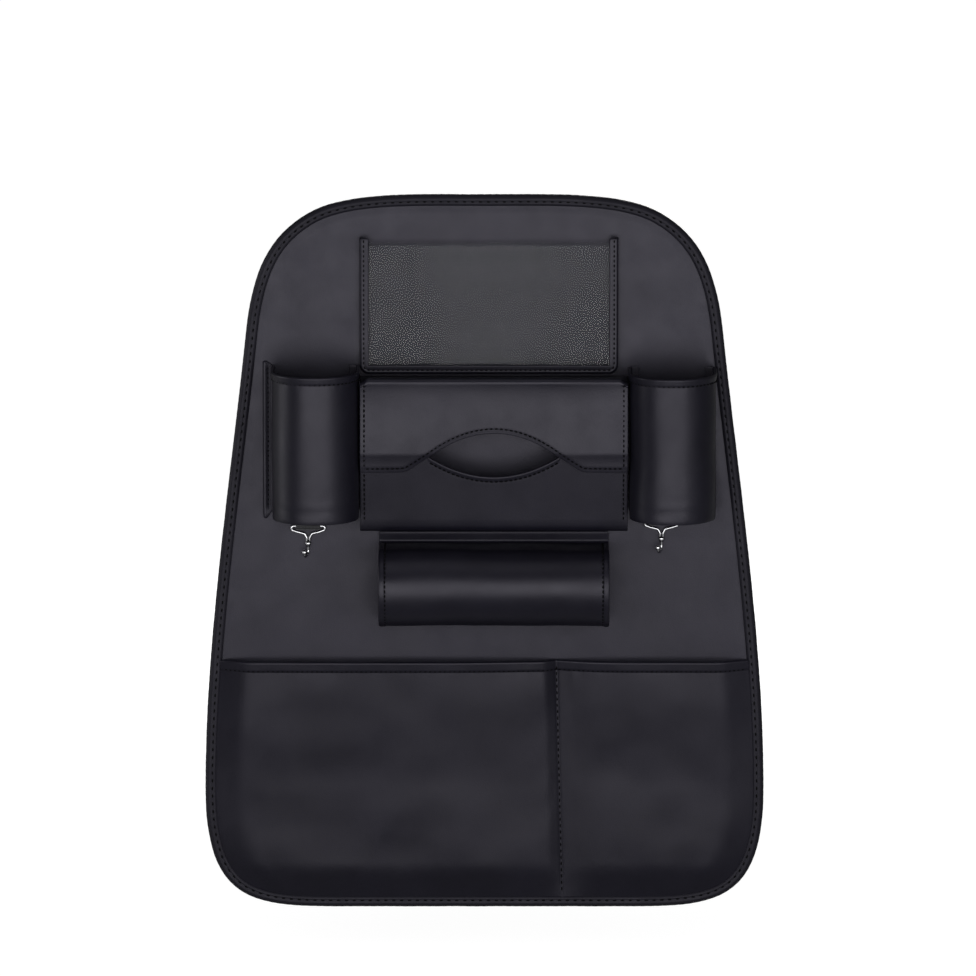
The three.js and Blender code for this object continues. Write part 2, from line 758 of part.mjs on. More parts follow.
function socketGeometry() {
  const wide = buckleWidth / 2;
  const body = plate(roundedRectangle(-socketLength, -wide, 0, wide, buckleCorner), socketThickness / 2, socketThickness, 4);
  const inner = wide - socketWall;
  const innerThick = socketThickness / 2 - socketWall;
  const window = block(-pinLength - 1, -pinLength + barbLength + 2, -innerThick * 0.9, innerThick * 0.9, -wide * 2, wide * 2);
  const cavity = block(-socketCavity, 1, -innerThick, innerThick, -inner, inner);
  return cut(body, [cavity, window, ...barCuts(-socketLength, 1)]);
}

function plugGeometry() {
  const wide = buckleWidth / 2;
  const inner = wide - socketWall - runningGap;
  const pinThick = socketThickness / 2 - socketWall - runningGap;
  const start = seamGap;
  const end = start + plugLength;
  const base = plate(roundedRectangle(start, -wide, end, wide, buckleCorner), plugThickness / 2, plugThickness, 4);
  const arm = (z0, z1) => block(-pinLength, start + 1, -pinThick, pinThick, z0, z1);
  const barb = (sign) => {
    const shape = new THREE.Shape([
      v2(-pinLength, sign * (inner - pinWidth)),
      v2(-pinLength, sign * (inner - pinWidth * 0.6)),
      v2(-pinLength + barbLength * 0.7, sign * inner),
      v2(-pinLength + barbLength, sign * inner),
      v2(-pinLength + barbLength, sign * (inner - pinWidth)),
    ]);
    return plate(shape, pinThick, pinThick * 2);
  };
  const inset = pinWidth * 0.45;
  const pieces = [
    base,
    arm(-guideWidth / 2, guideWidth / 2),
    arm(inner - inset - pinWidth, inner - inset),
    arm(-inner + inset, -inner + inset + pinWidth),
    barb(1),
    barb(-1),
  ];
  return cut(join(pieces), barCuts(end, -1));
}

// One strap loop: two webbing halves anchored to the lining, with a buckle between their ends.
// The way out from the anchor is given by corners [x, y, radius] for the right-hand half.
function makeStrap(name, height, depth, corners) {
  const bottom = height - webWidth / 2;
  const top = height + webWidth / 2;
  const layer = barThickness / 2 + runningGap + webThickness / 2;
  const half = (barEnd, inward) => {
    const turnX = barEnd + inward * (barLength + slotLength / 2);
    const sign = -inward;
    const outX = (reach) => barEnd + sign * reach;
    return [
      ...corners(sign, depth + layer),
      [turnX, depth + layer, webThickness * 0.6],
      [turnX, depth - layer, webThickness * 0.6],
      [outX(2), depth - layer, 2],
      [outX(tailLength / 3), depth + layer - webThickness - seamGap * 2, 2],
      [outX(tailLength), depth + layer - webThickness - seamGap * 2],
    ];
  };
  const left = planStrip(bentPath(half(-socketLength, 1)), webThickness, bottom, top);
  const right = planStrip(bentPath(half(seamGap + plugLength, -1)), webThickness, bottom, top);
  place(`${name}_strap_left`, left, webbingFinish);
  place(`${name}_strap_right`, right, webbingFinish);
  place(`${name}_buckle_socket`, socketGeometry().translate(0, depth, height), plasticFinish);
  place(`${name}_buckle_plug`, plugGeometry().translate(0, depth, height), plasticFinish);
}

function makeStraps() {
  const layer = seamGap + webThickness / 2;
  makeStrap('upper', panelHeight - upperStrapDrop, upperStrapDepth, (sign, run) => [
    [sign * (upperStrapReach + anchorLength), layer],
    [sign * upperStrapReach, layer, webBend],
    [sign * upperStrapReach, run, webBend * 1.5],
  ]);
  makeStrap('lower', lowerStrapHeight, lowerStrapDepth, (sign, run) => [
    [sign * lowerStrapReach, layer],
    [sign * (lowerStrapReach - anchorLength), layer, webBend],
    [sign * (lowerStrapReach - anchorLength - lowerStrapRamp), run, webBend],
  ]);
}

makeLayers();
makeBinding();
makeScreenPocket();
makeDrinkPocket('left', leftPocketCentre, drinkFlange);
makeDrinkPocket('right', rightPocketCentre, 0);
makeBoxPocket();
makeSleeve();
makeLowerPockets();
makeHook('left', leftHookCentre, leftHookHeight);
makeHook('right', rightHookCentre, rightHookHeight);
makeStraps();

export default organizer;
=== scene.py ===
"""Looks of a hanging car organizer: its leather, thread, felt, webbing, plastic and wire.

Metres, +Z up. X runs to the right seen from the front, and the front faces -Y. Heights are
measured up from the panel's bottom edge, sideways places from its centre line, and depths
forward from the front face of the panel.
"""

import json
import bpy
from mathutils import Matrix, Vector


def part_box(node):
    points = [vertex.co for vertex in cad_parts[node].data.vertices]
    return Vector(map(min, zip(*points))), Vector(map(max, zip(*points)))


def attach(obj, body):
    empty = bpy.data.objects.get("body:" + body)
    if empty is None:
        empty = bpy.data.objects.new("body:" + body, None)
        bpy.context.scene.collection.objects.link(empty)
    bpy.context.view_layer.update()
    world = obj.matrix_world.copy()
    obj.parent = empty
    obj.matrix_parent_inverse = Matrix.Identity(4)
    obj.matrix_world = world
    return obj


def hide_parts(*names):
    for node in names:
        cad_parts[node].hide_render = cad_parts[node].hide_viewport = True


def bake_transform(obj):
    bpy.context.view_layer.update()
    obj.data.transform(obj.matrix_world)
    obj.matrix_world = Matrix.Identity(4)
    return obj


bl_info = {
    "name": "Hanging car organizer",
    "version": (1, 0, 0),
    "blender": (4, 5, 0),
    "location": "3D View > Sidebar > Organizer",
    "description": "Sews the leather, fits the hardware and lights the stage of a hanging car organizer",
    "category": "Object",
}

from math import atan, cos, exp, pi, radians, sin, sqrt, tan

import bmesh
import bpy
from bpy.props import FloatProperty, FloatVectorProperty, IntProperty, PointerProperty
from mathutils import Matrix, Vector, geometry, noise

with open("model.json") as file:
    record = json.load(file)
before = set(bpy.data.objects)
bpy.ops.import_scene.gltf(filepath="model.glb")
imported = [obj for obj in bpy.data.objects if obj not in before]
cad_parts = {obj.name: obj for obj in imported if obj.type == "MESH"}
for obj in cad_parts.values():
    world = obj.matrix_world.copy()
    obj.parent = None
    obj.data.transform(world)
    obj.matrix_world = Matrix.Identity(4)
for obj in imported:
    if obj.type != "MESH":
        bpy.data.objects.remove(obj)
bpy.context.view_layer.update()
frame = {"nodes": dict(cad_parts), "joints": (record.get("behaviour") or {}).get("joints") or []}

boxes = {name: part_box(name) for name in frame["nodes"]}

FOOT = boxes["edge_binding"][0].z
TOP = boxes["edge_binding"][1].z
SIDE = boxes["edge_binding"][1].x
FRONT = boxes["front_panel"][0].y
HEIGHT = TOP - FOOT
BODY = "panel"

# Leather and seams
LEATHER = 0.0014
GAP = 0.0003
SEWN = GAP + LEATHER / 2
POCKET_PITCH = 0.0042
BINDING_PITCH = 0.0068
SEAM_INSET = 0.003
THREAD_SUNK = 0.0001
RIM_STEP = 0.0006
DIVIDER_PITCH = 0.0055

# Outline of the panel
CROWN_REACH = 0.059
SHOULDER_INSET = 0.0894
SHOULDER_DROP = 0.0166
SHOULDER_FALL = radians(30.6)
SHOULDER_REACH_IN = 0.0376
SHOULDER_REACH_OUT = 0.0366
ARM_INSET = 0.0362
ARM_DROP = 0.1201
ARM_FALL = radians(84)
ARM_REACH_IN = 0.0573
ARM_REACH_OUT = 0.12
WIDEST_HEIGHT = 0.1027
WIDEST_REACH_UP = 0.13
WIDEST_REACH_DOWN = 0.104
FOOT_INSET = 0.1244
FOOT_REACH = 0.0793
CENTRE_HEIGHT = 0.3
OUTLINE_STEPS = 1180
PANEL_STEPS = 520
FELT_STEPS = 360
OUTLINE_SHARE = 0.86

# Binding and panel
BINDING_WIDTH = 0.0096
BINDING_SEAM = 0.0061
BINDING_CUT = 0.027
BOARD_INSET = 0.016
EDGE_DIP = 0.0009
RING_INSET = 0.03

# Pockets
SCREEN_CORNER = 0.008
SCREEN_STRIP = 0.007
SCREEN_CUT = 0.0155
WINDOW_CORNER = 0.0066
FILM = 0.0005
DRINK_HEM = 0.0053
DRINK_LIFT = 0.0042
DRINK_TURN_IN = 0.007
DRINK_BEND = 0.0025
FLANGE_WIDTH = 0.0075
FLANGE_SEAM = 0.0042
FLANGE_TIP = 0.003
BOX_SEWN = 0.012
FLAP_CREASE = 0.404
FLAP_LOW_DEPTH = 0.0468
FLAP_RIDGE = 0.003
FLAP_PUFF = 0.005
FLAP_DROOP = 0.0035
FLAP_ROWS = 52
TRAY_SAG = 0.006
TRAY_LEAN = 0.0085
TRAY_LEAN_RUN = 0.054
TRAY_ROWS = 34
RIM_CURL = 0.0009
EYE_HALF = 0.057
EYE_SLOPE = 0.018
EYE_END = 0.4005
EYE_TOP = 0.422
EYE_BOTTOM = 0.382
EYE_CORNER = 0.0022
SLEEVE_SEAM = 0.010
SLEEVE_BEND = 0.003
SLEEVE_HEM = 0.0046
SLEEVE_RIM = 0.012
LOWER_HEM = 0.007
LOWER_BULGE = 0.008
LOWER_MOUTH_BULGE = 0.0128
LOWER_RISE = 0.0235
DIVIDER_RISE = 0.0105
DIVIDER_REACH = 0.09
DIVIDER_TOP = 0.0615
DIVIDER_BOTTOM = 0.067

# Hooks on their tabs
WIRE = 0.0013
WIRE_BENT = 0.00105
HOOK_LOOP_HALF = 0.0152
HOOK_EAR_DROP = 0.0036
HOOK_LOOP_DROP = 0.0105
HOOK_STEM_DROP = 0.021
HOOK_CURL = 0.0046
HOOK_BALL = 0.0022
HOOK_SWIVEL = radians(20)
HOOK_LEAN = radians(4.48)

# Straps and buckles
WEB = 0.0016
TAB_PITCH = 0.003
WEB_BEND = 0.008
BAR = 0.003
BAR_THICKNESS = 0.005
RUNNING_GAP = 0.0004
SOCKET_LENGTH = 0.036
PLUG_LENGTH = 0.013
TAIL = 0.026
ANCHOR_LENGTH = 0.028
ANCHOR_SEAM = 0.003
ANCHOR_BOX = 0.021
ANCHOR_PITCH = 0.0026
LOWER_SLANT = 0.06
BAR_LAYER = BAR_THICKNESS / 2 + RUNNING_GAP + WEB / 2

# Stage
AIM_X = 0.003
AIM_HEIGHT = 0.3664
FLOOR_DROP = 0.06
FLOOR_RINGS = (0.0, 0.3, 0.7, 1.5, 3, 6, 12, 24)


def described(kind, name, description, default, **limits):
    return kind(name=name, description=description, default=default, **limits)


def colour_of(*words):
    return described(FloatVectorProperty, *words, subtype="COLOR", size=3, min=0, max=1)


def length_of(*words, least=0):
    return described(FloatProperty, *words, unit="LENGTH", min=least)


def share_of(*words, least=0, most=1):
    return described(FloatProperty, *words, subtype="FACTOR", min=least, max=most)


def power_of(place, default):
    return described(FloatProperty, f"{place.capitalize()} light",
                     f"Power of the soft light at the {place}", default, unit="POWER", min=0)


class LeatherFinish(bpy.types.PropertyGroup):
    """Finish of the synthetic leather"""

    colour: colour_of("Leather colour", "Colour of the leather in plain light", (0.005, 0.0047, 0.008))
    roughness: share_of("Roughness", "How dull the leather is", 0.38)
    grain: length_of("Grain size", "Width of one pebble of the leather's grain", 0.0011, least=0.0002)
    grain_depth: length_of("Grain depth", "Depth of the creases between the pebbles", 0.00008)
    swell: length_of("Swell", "How far the soft front leather swells and sinks", 0.0005)


class SewingFinish(bpy.types.PropertyGroup):
    """Thread and stitch sizes"""

    colour: colour_of("Thread colour", "Colour of the sewing thread", (0.0016, 0.0016, 0.0019))
    radius: length_of("Thread radius", "Half the thickness of the thread", 0.00065, least=0.0001)
    filled: share_of("Stitch share", "Share of the stitch pitch that the thread covers", 0.6,
                     least=0.2, most=0.95)


class HardwareFinish(bpy.types.PropertyGroup):
    """Finish of the wire, plastic, webbing and felt"""

    chrome: colour_of("Chrome colour", "Colour of the plated wire", (0.5, 0.5, 0.52))
    plastic: colour_of("Plastic colour", "Colour of the moulded buckles", (0.014, 0.014, 0.016))
    webbing: colour_of("Webbing colour", "Colour of the woven straps", (0.011, 0.011, 0.013))
    felt: colour_of("Felt colour", "Colour of the back lining", (0.018, 0.018, 0.021))
    wire_sides: described(IntProperty, "Wire sides", "Faces round the hook's wire", 14, min=6, max=32)


class StageFinish(bpy.types.PropertyGroup):
    """Light and camera"""

    distance: length_of("Camera distance", "From the camera to the panel", 9.0, least=1)
    elevation: described(FloatProperty, "Camera elevation", "Angle of the camera above level",
                         radians(10), subtype="ANGLE")
    frame_width: length_of("Picture width", "Width that the picture shows at the panel", 0.835, least=0.1)
    key: power_of("front", 47)
    fill_left: power_of("left", 15)
    fill_right: power_of("right", 5)
    top: power_of("top", 4)
    rear: power_of("back", 22)
    ambient: described(FloatProperty, "Ambient light", "Strength of the light from all round", 0.04,
                       min=0, max=2)
    mirrored: share_of("Mirrored surroundings", "Brightness of the white surroundings in gloss", 0.1)


# Shared arithmetic
def mix(a, b, share):
    return a + (b - a) * share


def ease(value, run):
    share = min(max(value / run, 0.0), 1.0)
    return share * share * (3 - 2 * share)


def hump(value, width):
    """1 at value 0, falling to nothing over about twice the width"""
    return exp(-((value / width) ** 2))


def pillow(value, run):
    """0 at value 0, rising steeply at first and level after the run, like a stuffed edge"""
    return sin(pi / 2 * min(max(value / run, 0.0), 1.0))


def stuffed(value, run, bend=0.3):
    """0 at value 0, rising evenly and turning level round a soft bend at the run"""
    share = value / run
    if share >= 1 + bend:
        return 1.0
    if share <= 1 - bend:
        return max(share, 0.0)
    return 1 - (1 + bend - share) ** 2 / (4 * bend)


def softened(value, soft):
    """The value where it is well above 0 and nearly 0 below, through a rounded corner"""
    return (value + sqrt(value * value + soft * soft)) / 2


def swelling(x, z, size, seed):
    return noise.noise(Vector((x / size, z / size, seed)))


def at(x, depth, height):
    return Vector((x, FRONT - depth, FOOT + height))


def evenly(start, end, spacing, marks=()):
    """Places from start to end at about one spacing, and at each mark"""
    count = max(2, round(abs(end - start) / spacing))
    places = [mix(start, end, k / count) for k in range(count + 1)]
    kept = [p for p in places if all(abs(p - m) > spacing * 0.35 for m in marks)]
    return sorted(set(kept + [m for m in marks if start <= m <= end]))


def towards_rim(start, end, spacing, rim, marks=()):
    """Places from start to end, close together over the last stretch before a rim"""
    return evenly(start, end - rim, spacing, marks) + evenly(end - rim, end, RIM_STEP)[1:]


# Lines
def bent_path(corners, spacing=0.003):
    """Points along a line through corners (x, y, radius), each corner rounded to its radius"""
    points = []
    for k, corner in enumerate(corners):
        here = Vector(corner[:2])
        if len(corner) < 3:
            points.append(here)
            continue
        radius = corner[2]
        incoming = (here - Vector(corners[k - 1][:2])).normalized()
        outgoing = (Vector(corners[k + 1][:2]) - here).normalized()
        turn = incoming.angle(outgoing)
        sense = 1 if incoming.cross(outgoing) > 0 else -1
        start = here - incoming * radius * tan(turn / 2)
        centre = start + Vector((-incoming.y, incoming.x)) * sense * radius
        steps = max(2, round(turn / radians(9)), round(turn * radius / spacing))
        for s in range(steps + 1):
            points.append(centre + Matrix.Rotation(sense * turn * s / steps, 2) @ (start - centre))
    return filled(points, spacing)


def filled(points, spacing):
    """The same line with points added where they lie further apart than the spacing"""
    line = [points[0]]
    for point in points[1:]:
        gap = (point - line[-1]).length
        if gap < 1e-6:
            continue
        pieces = max(1, round(gap / spacing))
        start = line[-1]
        line.extend(start.lerp(point, k / pieces) for k in range(1, pieces + 1))
    return line


def respaced(points, count):
    """The line with count equal steps"""
    lengths = [0.0]
    for a, b in zip(points, points[1:]):
        lengths.append(lengths[-1] + (b - a).length)
    line, k = [], 0
    for step in range(count + 1):
        want = lengths[-1] * step / count
        while k < len(points) - 2 and lengths[k + 1] < want:
            k += 1
        span = max(lengths[k + 1] - lengths[k], 1e-9)
        line.append(points[k].lerp(points[k + 1], (want - lengths[k]) / span))
    return line


def sides(path, closed=False):
    """Unit vectors to the left of a flat line, one for each point"""
    last = len(path) - 1
    found = []
    for k, point in enumerate(path):
        before = path[k - 1] if closed or k > 0 else point
        after = path[(k + 1) % len(path)] if closed or k < last else point
        way = (after - before).normalized()
        found.append(Vector((-way.y, way.x)))
    return found


def lengths_along(path):
    total = [0.0]
    for a, b in zip(path, path[1:]):
        total.append(total[-1] + (b - a).length)
    return total


def outline_loop(steps):
    """The panel's outline in x and height, clockwise from the middle of its top"""
    shoulder = Vector((SIDE - SHOULDER_INSET, HEIGHT - SHOULDER_DROP))
    shoulder_way = Vector((cos(SHOULDER_FALL), -sin(SHOULDER_FALL)))
    arm = Vector((SIDE - ARM_INSET, HEIGHT - ARM_DROP))
    arm_way = Vector((cos(ARM_FALL), -sin(ARM_FALL)))
    widest = Vector((SIDE, WIDEST_HEIGHT))
    foot = Vector((SIDE - FOOT_INSET, 0))
    spans = [
        (Vector((0, HEIGHT)), Vector((CROWN_REACH, HEIGHT)),
         shoulder - shoulder_way * SHOULDER_REACH_IN, shoulder),
        (shoulder, shoulder + shoulder_way * SHOULDER_REACH_OUT,
         arm - arm_way * ARM_REACH_IN, arm),
        (arm, arm + arm_way * ARM_REACH_OUT,
         widest + Vector((0, WIDEST_REACH_UP)), widest),
        (widest, widest - Vector((0, WIDEST_REACH_DOWN)),
         foot + Vector((FOOT_REACH, 0)), foot),
    ]
    half = []
    for start, out, back, end in spans:
        curve = geometry.interpolate_bezier(start, out, back, end, 80)
        half.extend(Vector(p[:2]) for p in curve[:-1])
    half.extend([foot, Vector((0, 0))])
    right = respaced(half, steps // 2)
    left = [Vector((-p.x, p.y)) for p in reversed(right[1:-1])]
    return right + left


def inset_loop(loop, inset):
    return [p - side * inset for p, side in zip(loop, sides(loop, closed=True))]


# Meshes
def new_piece(name, points, faces, material, slot=None, body=BODY, stands_for=()):
    mesh = bpy.data.meshes.new(name)
    mesh.from_pydata([tuple(p) for p in points], [], faces)
    mesh.materials.append(material)
    shaping = bmesh.new()
    shaping.from_mesh(mesh)
    bmesh.ops.remove_doubles(shaping, verts=shaping.verts, dist=1e-7)
    bmesh.ops.recalc_face_normals(shaping, faces=shaping.faces)
    for face in shaping.faces:
        face.smooth = True
    shaping.to_mesh(mesh)
    shaping.free()
    piece = bpy.data.objects.new(name, mesh)
    bpy.context.scene.collection.objects.link(piece)
    if body:
        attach(piece, body)
    if stands_for:
        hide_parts(*stands_for)
    return piece


def lofted(sections, around=True, along=False, capped=True):
    """Points and faces through matching sections. around closes each section, and along
    joins the last section to the first"""
    rows, count = len(sections), len(sections[0])
    faces = []
    for i in range(rows if along else rows - 1):
        below, above = i * count, ((i + 1) % rows) * count
        for j in range(count if around else count - 1):
            k = (j + 1) % count
            faces.append((below + j, below + k, above + k, above + j))
    if capped and around and not along:
        faces.append(tuple(range(count)))
        faces.append(tuple(reversed(range((rows - 1) * count, rows * count))))
    return [p for section in sections for p in section], faces


def sheet_shell(outer, inner, fold=1.0, steps=4):
    """Points and faces of a sheet between two matching grids, with its rim rounded.
    fold is 1 for a folded rim and less for a cut one"""
    rows, columns = len(outer), len(outer[0])
    points = [p for row in outer for p in row] + [p for row in inner for p in row]
    faces = []

    def place(side, i, j):
        return (side * rows + i) * columns + j

    for i in range(rows - 1):
        for j in range(columns - 1):
            for side in (0, 1):
                faces.append((place(side, i, j), place(side, i, j + 1),
                              place(side, i + 1, j + 1), place(side, i + 1, j)))
    rim = [(0, j) for j in range(columns - 1)]
    rim += [(i, columns - 1) for i in range(rows - 1)]
    rim += [(rows - 1, j) for j in range(columns - 1, 0, -1)]
    rim += [(i, 0) for i in range(rows - 1, 0, -1)]
    arcs = []
    for i, j in rim:
        over, under = outer[i][j], inner[i][j]
        middle, reach = (over + under) / 2, (over - under) / 2
        inside = outer[min(max(i, 1), rows - 2)][min(max(j, 1), columns - 2)]
        away = over - inside
        away -= reach * (away.dot(reach) / max(reach.length_squared, 1e-12))
        away = away.normalized() * reach.length * fold
        arc = [place(0, i, j)]
        for s in range(1, steps):
            turn = pi * s / steps
            arc.append(len(points))
            points.append(middle + reach * cos(turn) + away * sin(turn))
        arc.append(place(1, i, j))
        arcs.append(arc)
    for k, arc in enumerate(arcs):
        following = arcs[(k + 1) % len(arcs)]
        for s in range(steps):
            faces.append((arc[s], arc[s + 1], following[s + 1], following[s]))
    return points, faces


def tube(path, radius, sides_round=10, round_ends=True):
    """Points and faces of a round bar along a line in space"""
    sections = []
    way = (path[1] - path[0]).normalized()
    across = way.orthogonal().normalized()
    for k, point in enumerate(path):
        before, after = path[max(k - 1, 0)], path[min(k + 1, len(path) - 1)]
        turned = (after - before).normalized()
        across = (way.rotation_difference(turned) @ across).normalized()
        way = turned
        width = radius[k] if isinstance(radius, list) else radius
        up = way.cross(across)
        turns = [2 * pi * s / sides_round for s in range(sides_round)]
        sections.append([point + (across * cos(t) + up * sin(t)) * width for t in turns])
    if round_ends:
        for place, k in ((0, 0), (len(sections) + 1, -1)):
            outward = (path[k] - path[1 if k == 0 else -2]).normalized()
            width = radius[k] if isinstance(radius, list) else radius
            cap = [path[k] + (p - path[k]) * 0.6 + outward * width * 0.8 for p in sections[k]]
            sections.insert(place, cap)
    return lofted(sections)


def joined(parts):
    """One list of points and one of faces from several"""
    points, faces = [], []
    for some_points, some_faces in parts:
        start = len(points)
        points.extend(some_points)
        faces.extend(tuple(k + start for k in face) for face in some_faces)
    return points, faces


# Sewing
def stitches(line, outward, pitch=POCKET_PITCH, thick=1.0):
    """Thread stitches along a line of surface points, each with its outward direction"""
    sewing = bpy.context.scene.organizer_sewing
    radius = sewing.radius * thick
    along = lengths_along(line)
    parts = []
    count = round(along[-1] / pitch)
    pitch = along[-1] / count
    k = 0

    def surface(distance):
        nonlocal k
        k = min(k, len(line) - 2)
        while k > 0 and along[k] > distance:
            k -= 1
        while k < len(line) - 2 and along[k + 1] < distance:
            k += 1
        share = (distance - along[k]) / max(along[k + 1] - along[k], 1e-9)
        return line[k].lerp(line[k + 1], share), outward[k].lerp(outward[k + 1], share).normalized()

    for number in range(count):
        start = (number + (1 - sewing.filled) / 2) * pitch
        path, widths = [], []
        for s in range(6):
            share = s / 5
            arch = sin(pi * share)
            point, up = surface(start + pitch * sewing.filled * share)
            path.append(point + up * radius * (1.5 * arch - 1.1))
            widths.append(radius * (0.7 + 0.3 * arch))
        parts.append(tube(path, widths, 6, round_ends=False))
    return parts


def face_stitches(line, pitch=POCKET_PITCH, thick=1.0, sense=-1):
    """Stitches on a surface that looks to the front, or with sense 1 to the back"""
    return stitches(line, [Vector((0, sense, 0))] * len(line), pitch, thick)


def sew(name, runs, slot="pocket_leather"):
    """One thread piece from several runs of stitches"""
    points, faces = joined([part for run in runs for part in run])
    new_piece(name, points, faces, thread_material(), slot)


# Materials
def plug(tree, socket, value):
    """Link what comes from another node, and set anything else"""
    if isinstance(value, bpy.types.NodeSocket):
        tree.links.new(value, socket)
    else:
        socket.default_value = value


def wire(tree, made, **inputs):
    """Fill a node's inputs by name"""
    for key, value in inputs.items():
        plug(tree, made.inputs[key.replace("_", " ")], value)


def node(tree, kind, settings=None, *values, **inputs):
    """A shader node with its settings made, and its inputs filled in order or by name"""
    made = tree.nodes.new("ShaderNode" + kind)
    for key, value in (settings or {}).items():
        setattr(made, key, value)
    for socket, value in zip(made.inputs, values):
        plug(tree, socket, value)
    wire(tree, made, **inputs)
    return made


def maths(tree, operation, first, second):
    return node(tree, "Math", {"operation": operation}, first, second).outputs[0]


def mottled(tree, place, scale, detail=2, roughness=0.5, distortion=0.0):
    """Noise over the object, from 0 to 1"""
    return node(tree, "TexNoise", Vector=place, Scale=scale, Detail=detail, Roughness=roughness,
                Distortion=distortion).outputs["Fac"]


def bump(tree, height, strength, depth):
    return node(tree, "Bump", Height=height, Strength=strength, Distance=depth).outputs["Normal"]


def ramp(tree, factor, *stops):
    """A colour ramp between two stops, each a place with a colour or a grey"""
    made = node(tree, "ValToRGB", Fac=factor)
    for element, (place, colour) in zip(made.color_ramp.elements, stops):
        element.position = place
        element.color = (*colour, 1) if isinstance(colour, tuple) else (colour, colour, colour, 1)
    return made.outputs["Color"]


def shade(colour, share):
    return tuple(min(part * share, 1) for part in colour)


def tinted(tree, factor, colour, *stops):
    """A ramp between two shades of a colour, each a place with a share of the colour"""
    return ramp(tree, factor, *((place, shade(colour, share)) for place, share in stops))


def wear_and_highlight_edges(tree, colour, lighter, low=0.52, high=0.62):
    """The colour, with the raised edges painted lighter: partly rubbed wear, partly a painted highlight"""
    raised = node(tree, "NewGeometry").outputs["Pointiness"]
    return node(tree, "Mix", {"data_type": "RGBA"}, Factor=ramp(tree, raised, (low, 0), (high, 1)),
                A=colour, B=(*lighter, 1)).outputs["Result"]


def finish_named(name, **sockets):
    """A material is made under its name when it is first wanted, and taken again after that"""
    def wrap(dress):
        def given(name=name, **settings):
            if name in bpy.data.materials:
                return bpy.data.materials[name]
            material = bpy.data.materials.new(name)
            material.use_nodes = True
            tree = material.node_tree
            shader = tree.nodes["Principled BSDF"]
            wire(tree, shader, **sockets)
            place = node(tree, "TexCoord").outputs["Object"]
            wire(tree, shader, **dress(tree, place, **settings))
            return material
        return given
    return wrap


@finish_named("fine_grain_leather", Specular_IOR_Level=0.2, Specular_Tint=(0.91, 0.88, 1.0, 1))
def leather_material(tree, place, tone=1.0, dull=0.0, grain=1.0):
    """Fine-grained synthetic leather: pebbles, creases between them painted darker as painted shade, and a
    soft mottle
    """
    finish = bpy.context.scene.organizer_leather
    size = finish.grain * grain
    warp = node(tree, "TexNoise", Vector=place, Scale=0.35 / size, Detail=2).outputs["Color"]
    bent = node(tree, "VectorMath", {"operation": "MULTIPLY_ADD"}, warp, (size * 1.2,) * 3, place)
    pebbles = node(tree, "TexVoronoi", {"feature": "DISTANCE_TO_EDGE"}, Vector=bent.outputs[0],
                   Scale=0.75 / size)
    rounded = maths(tree, "POWER", maths(tree, "MINIMUM", pebbles.outputs["Distance"], 0.3), 0.5)
    fine = mottled(tree, place, 3.2 / size, 3, 0.6)
    height = maths(tree, "ADD", rounded, maths(tree, "MULTIPLY", fine, 0.35))
    colour = tinted(tree, mottled(tree, place, 16, 5, 0.55), finish.colour,
                    (0.32, tone * 0.86), (0.68, tone * 1.16))
    # The creases between the pebbles are painted darker here: painted shade
    crease_shaded = node(tree, "Mix", {"data_type": "RGBA", "blend_type": "MULTIPLY"}, Factor=0.8, A=colour,
                   B=ramp(tree, rounded, (0.05, 0.62), (0.35, 1))).outputs["Result"]
    # Raised edges painted lighter, partly as rubbed wear and partly as a painted highlight
    edge_wear_and_highlight = wear_and_highlight_edges(tree, crease_shaded, shade(finish.colour, tone * 1.5), 0.56, 0.7)
    dullness = finish.roughness + dull
    rough = ramp(tree, mottled(tree, place, 42, 4, 0.6), (0.3, dullness - 0.05), (0.7, dullness + 0.06))
    return {"Base_Color": edge_wear_and_highlight, "Roughness": rough, "Normal": bump(tree, height, 0.55, finish.grain_depth)}


@finish_named("sewing_thread", Roughness=0.75, Specular_IOR_Level=0.05)
def thread_material(tree, place):
    """Twisted bonded thread"""
    twist = node(tree, "TexWave", {"bands_direction": "DIAGONAL"}, Vector=place, Scale=420,
                 Distortion=1.2).outputs["Fac"]
    # The twist's grooves are painted darker and its strands lighter, as painted shade and painted highlight
    tint = tinted(tree, twist, bpy.context.scene.organizer_sewing.colour, (0.2, 0.7), (0.9, 1.5))
    return {"Base_Color": tint, "Normal": bump(tree, twist, 0.6, 0.00008)}


@finish_named("pressed_felt", Roughness=0.95, Specular_IOR_Level=0.15, Sheen_Weight=0.35,
              Sheen_Roughness=0.6)
def felt_material(tree, place):
    """Pressed felt: short fibres lying all ways"""
    clumps = mottled(tree, place, 260, 6, 0.75, 1.4)
    fibres = mottled(tree, place, 1500, distortion=3)
    height = maths(tree, "ADD", clumps, maths(tree, "MULTIPLY", fibres, 0.6))
    tint = tinted(tree, clumps, bpy.context.scene.organizer_hardware.felt, (0.3, 0.55), (0.7, 1.7))
    return {"Base_Color": tint, "Normal": bump(tree, height, 0.8, 0.0004)}


@finish_named("woven_webbing", Roughness=0.7, Specular_IOR_Level=0.35, Sheen_Weight=0.15,
              Sheen_Roughness=0.5)
def webbing_material(tree, place, upright=False):
    """Woven strap: ribs across the strap and yarns along it"""
    ribs, yarns = (node(tree, "TexWave", {"bands_direction": direction}, Vector=place, Scale=scale,
                        Distortion=0.4, Detail=1).outputs["Fac"]
                   for direction, scale in zip("ZX" if upright else "XZ", (150, 260)))
    fuzz = mottled(tree, place, 2200)
    height = maths(tree, "ADD", maths(tree, "MULTIPLY", ribs, yarns), maths(tree, "MULTIPLY", fuzz, 0.25))
    # The weave's hollows are painted darker and its ribs lighter, as painted shade and painted highlight
    tint = tinted(tree, height, bpy.context.scene.organizer_hardware.webbing, (0.1, 0.5), (1.0, 1.9))
    return {"Base_Color": tint, "Normal": bump(tree, height, 0.9, 0.0003)}


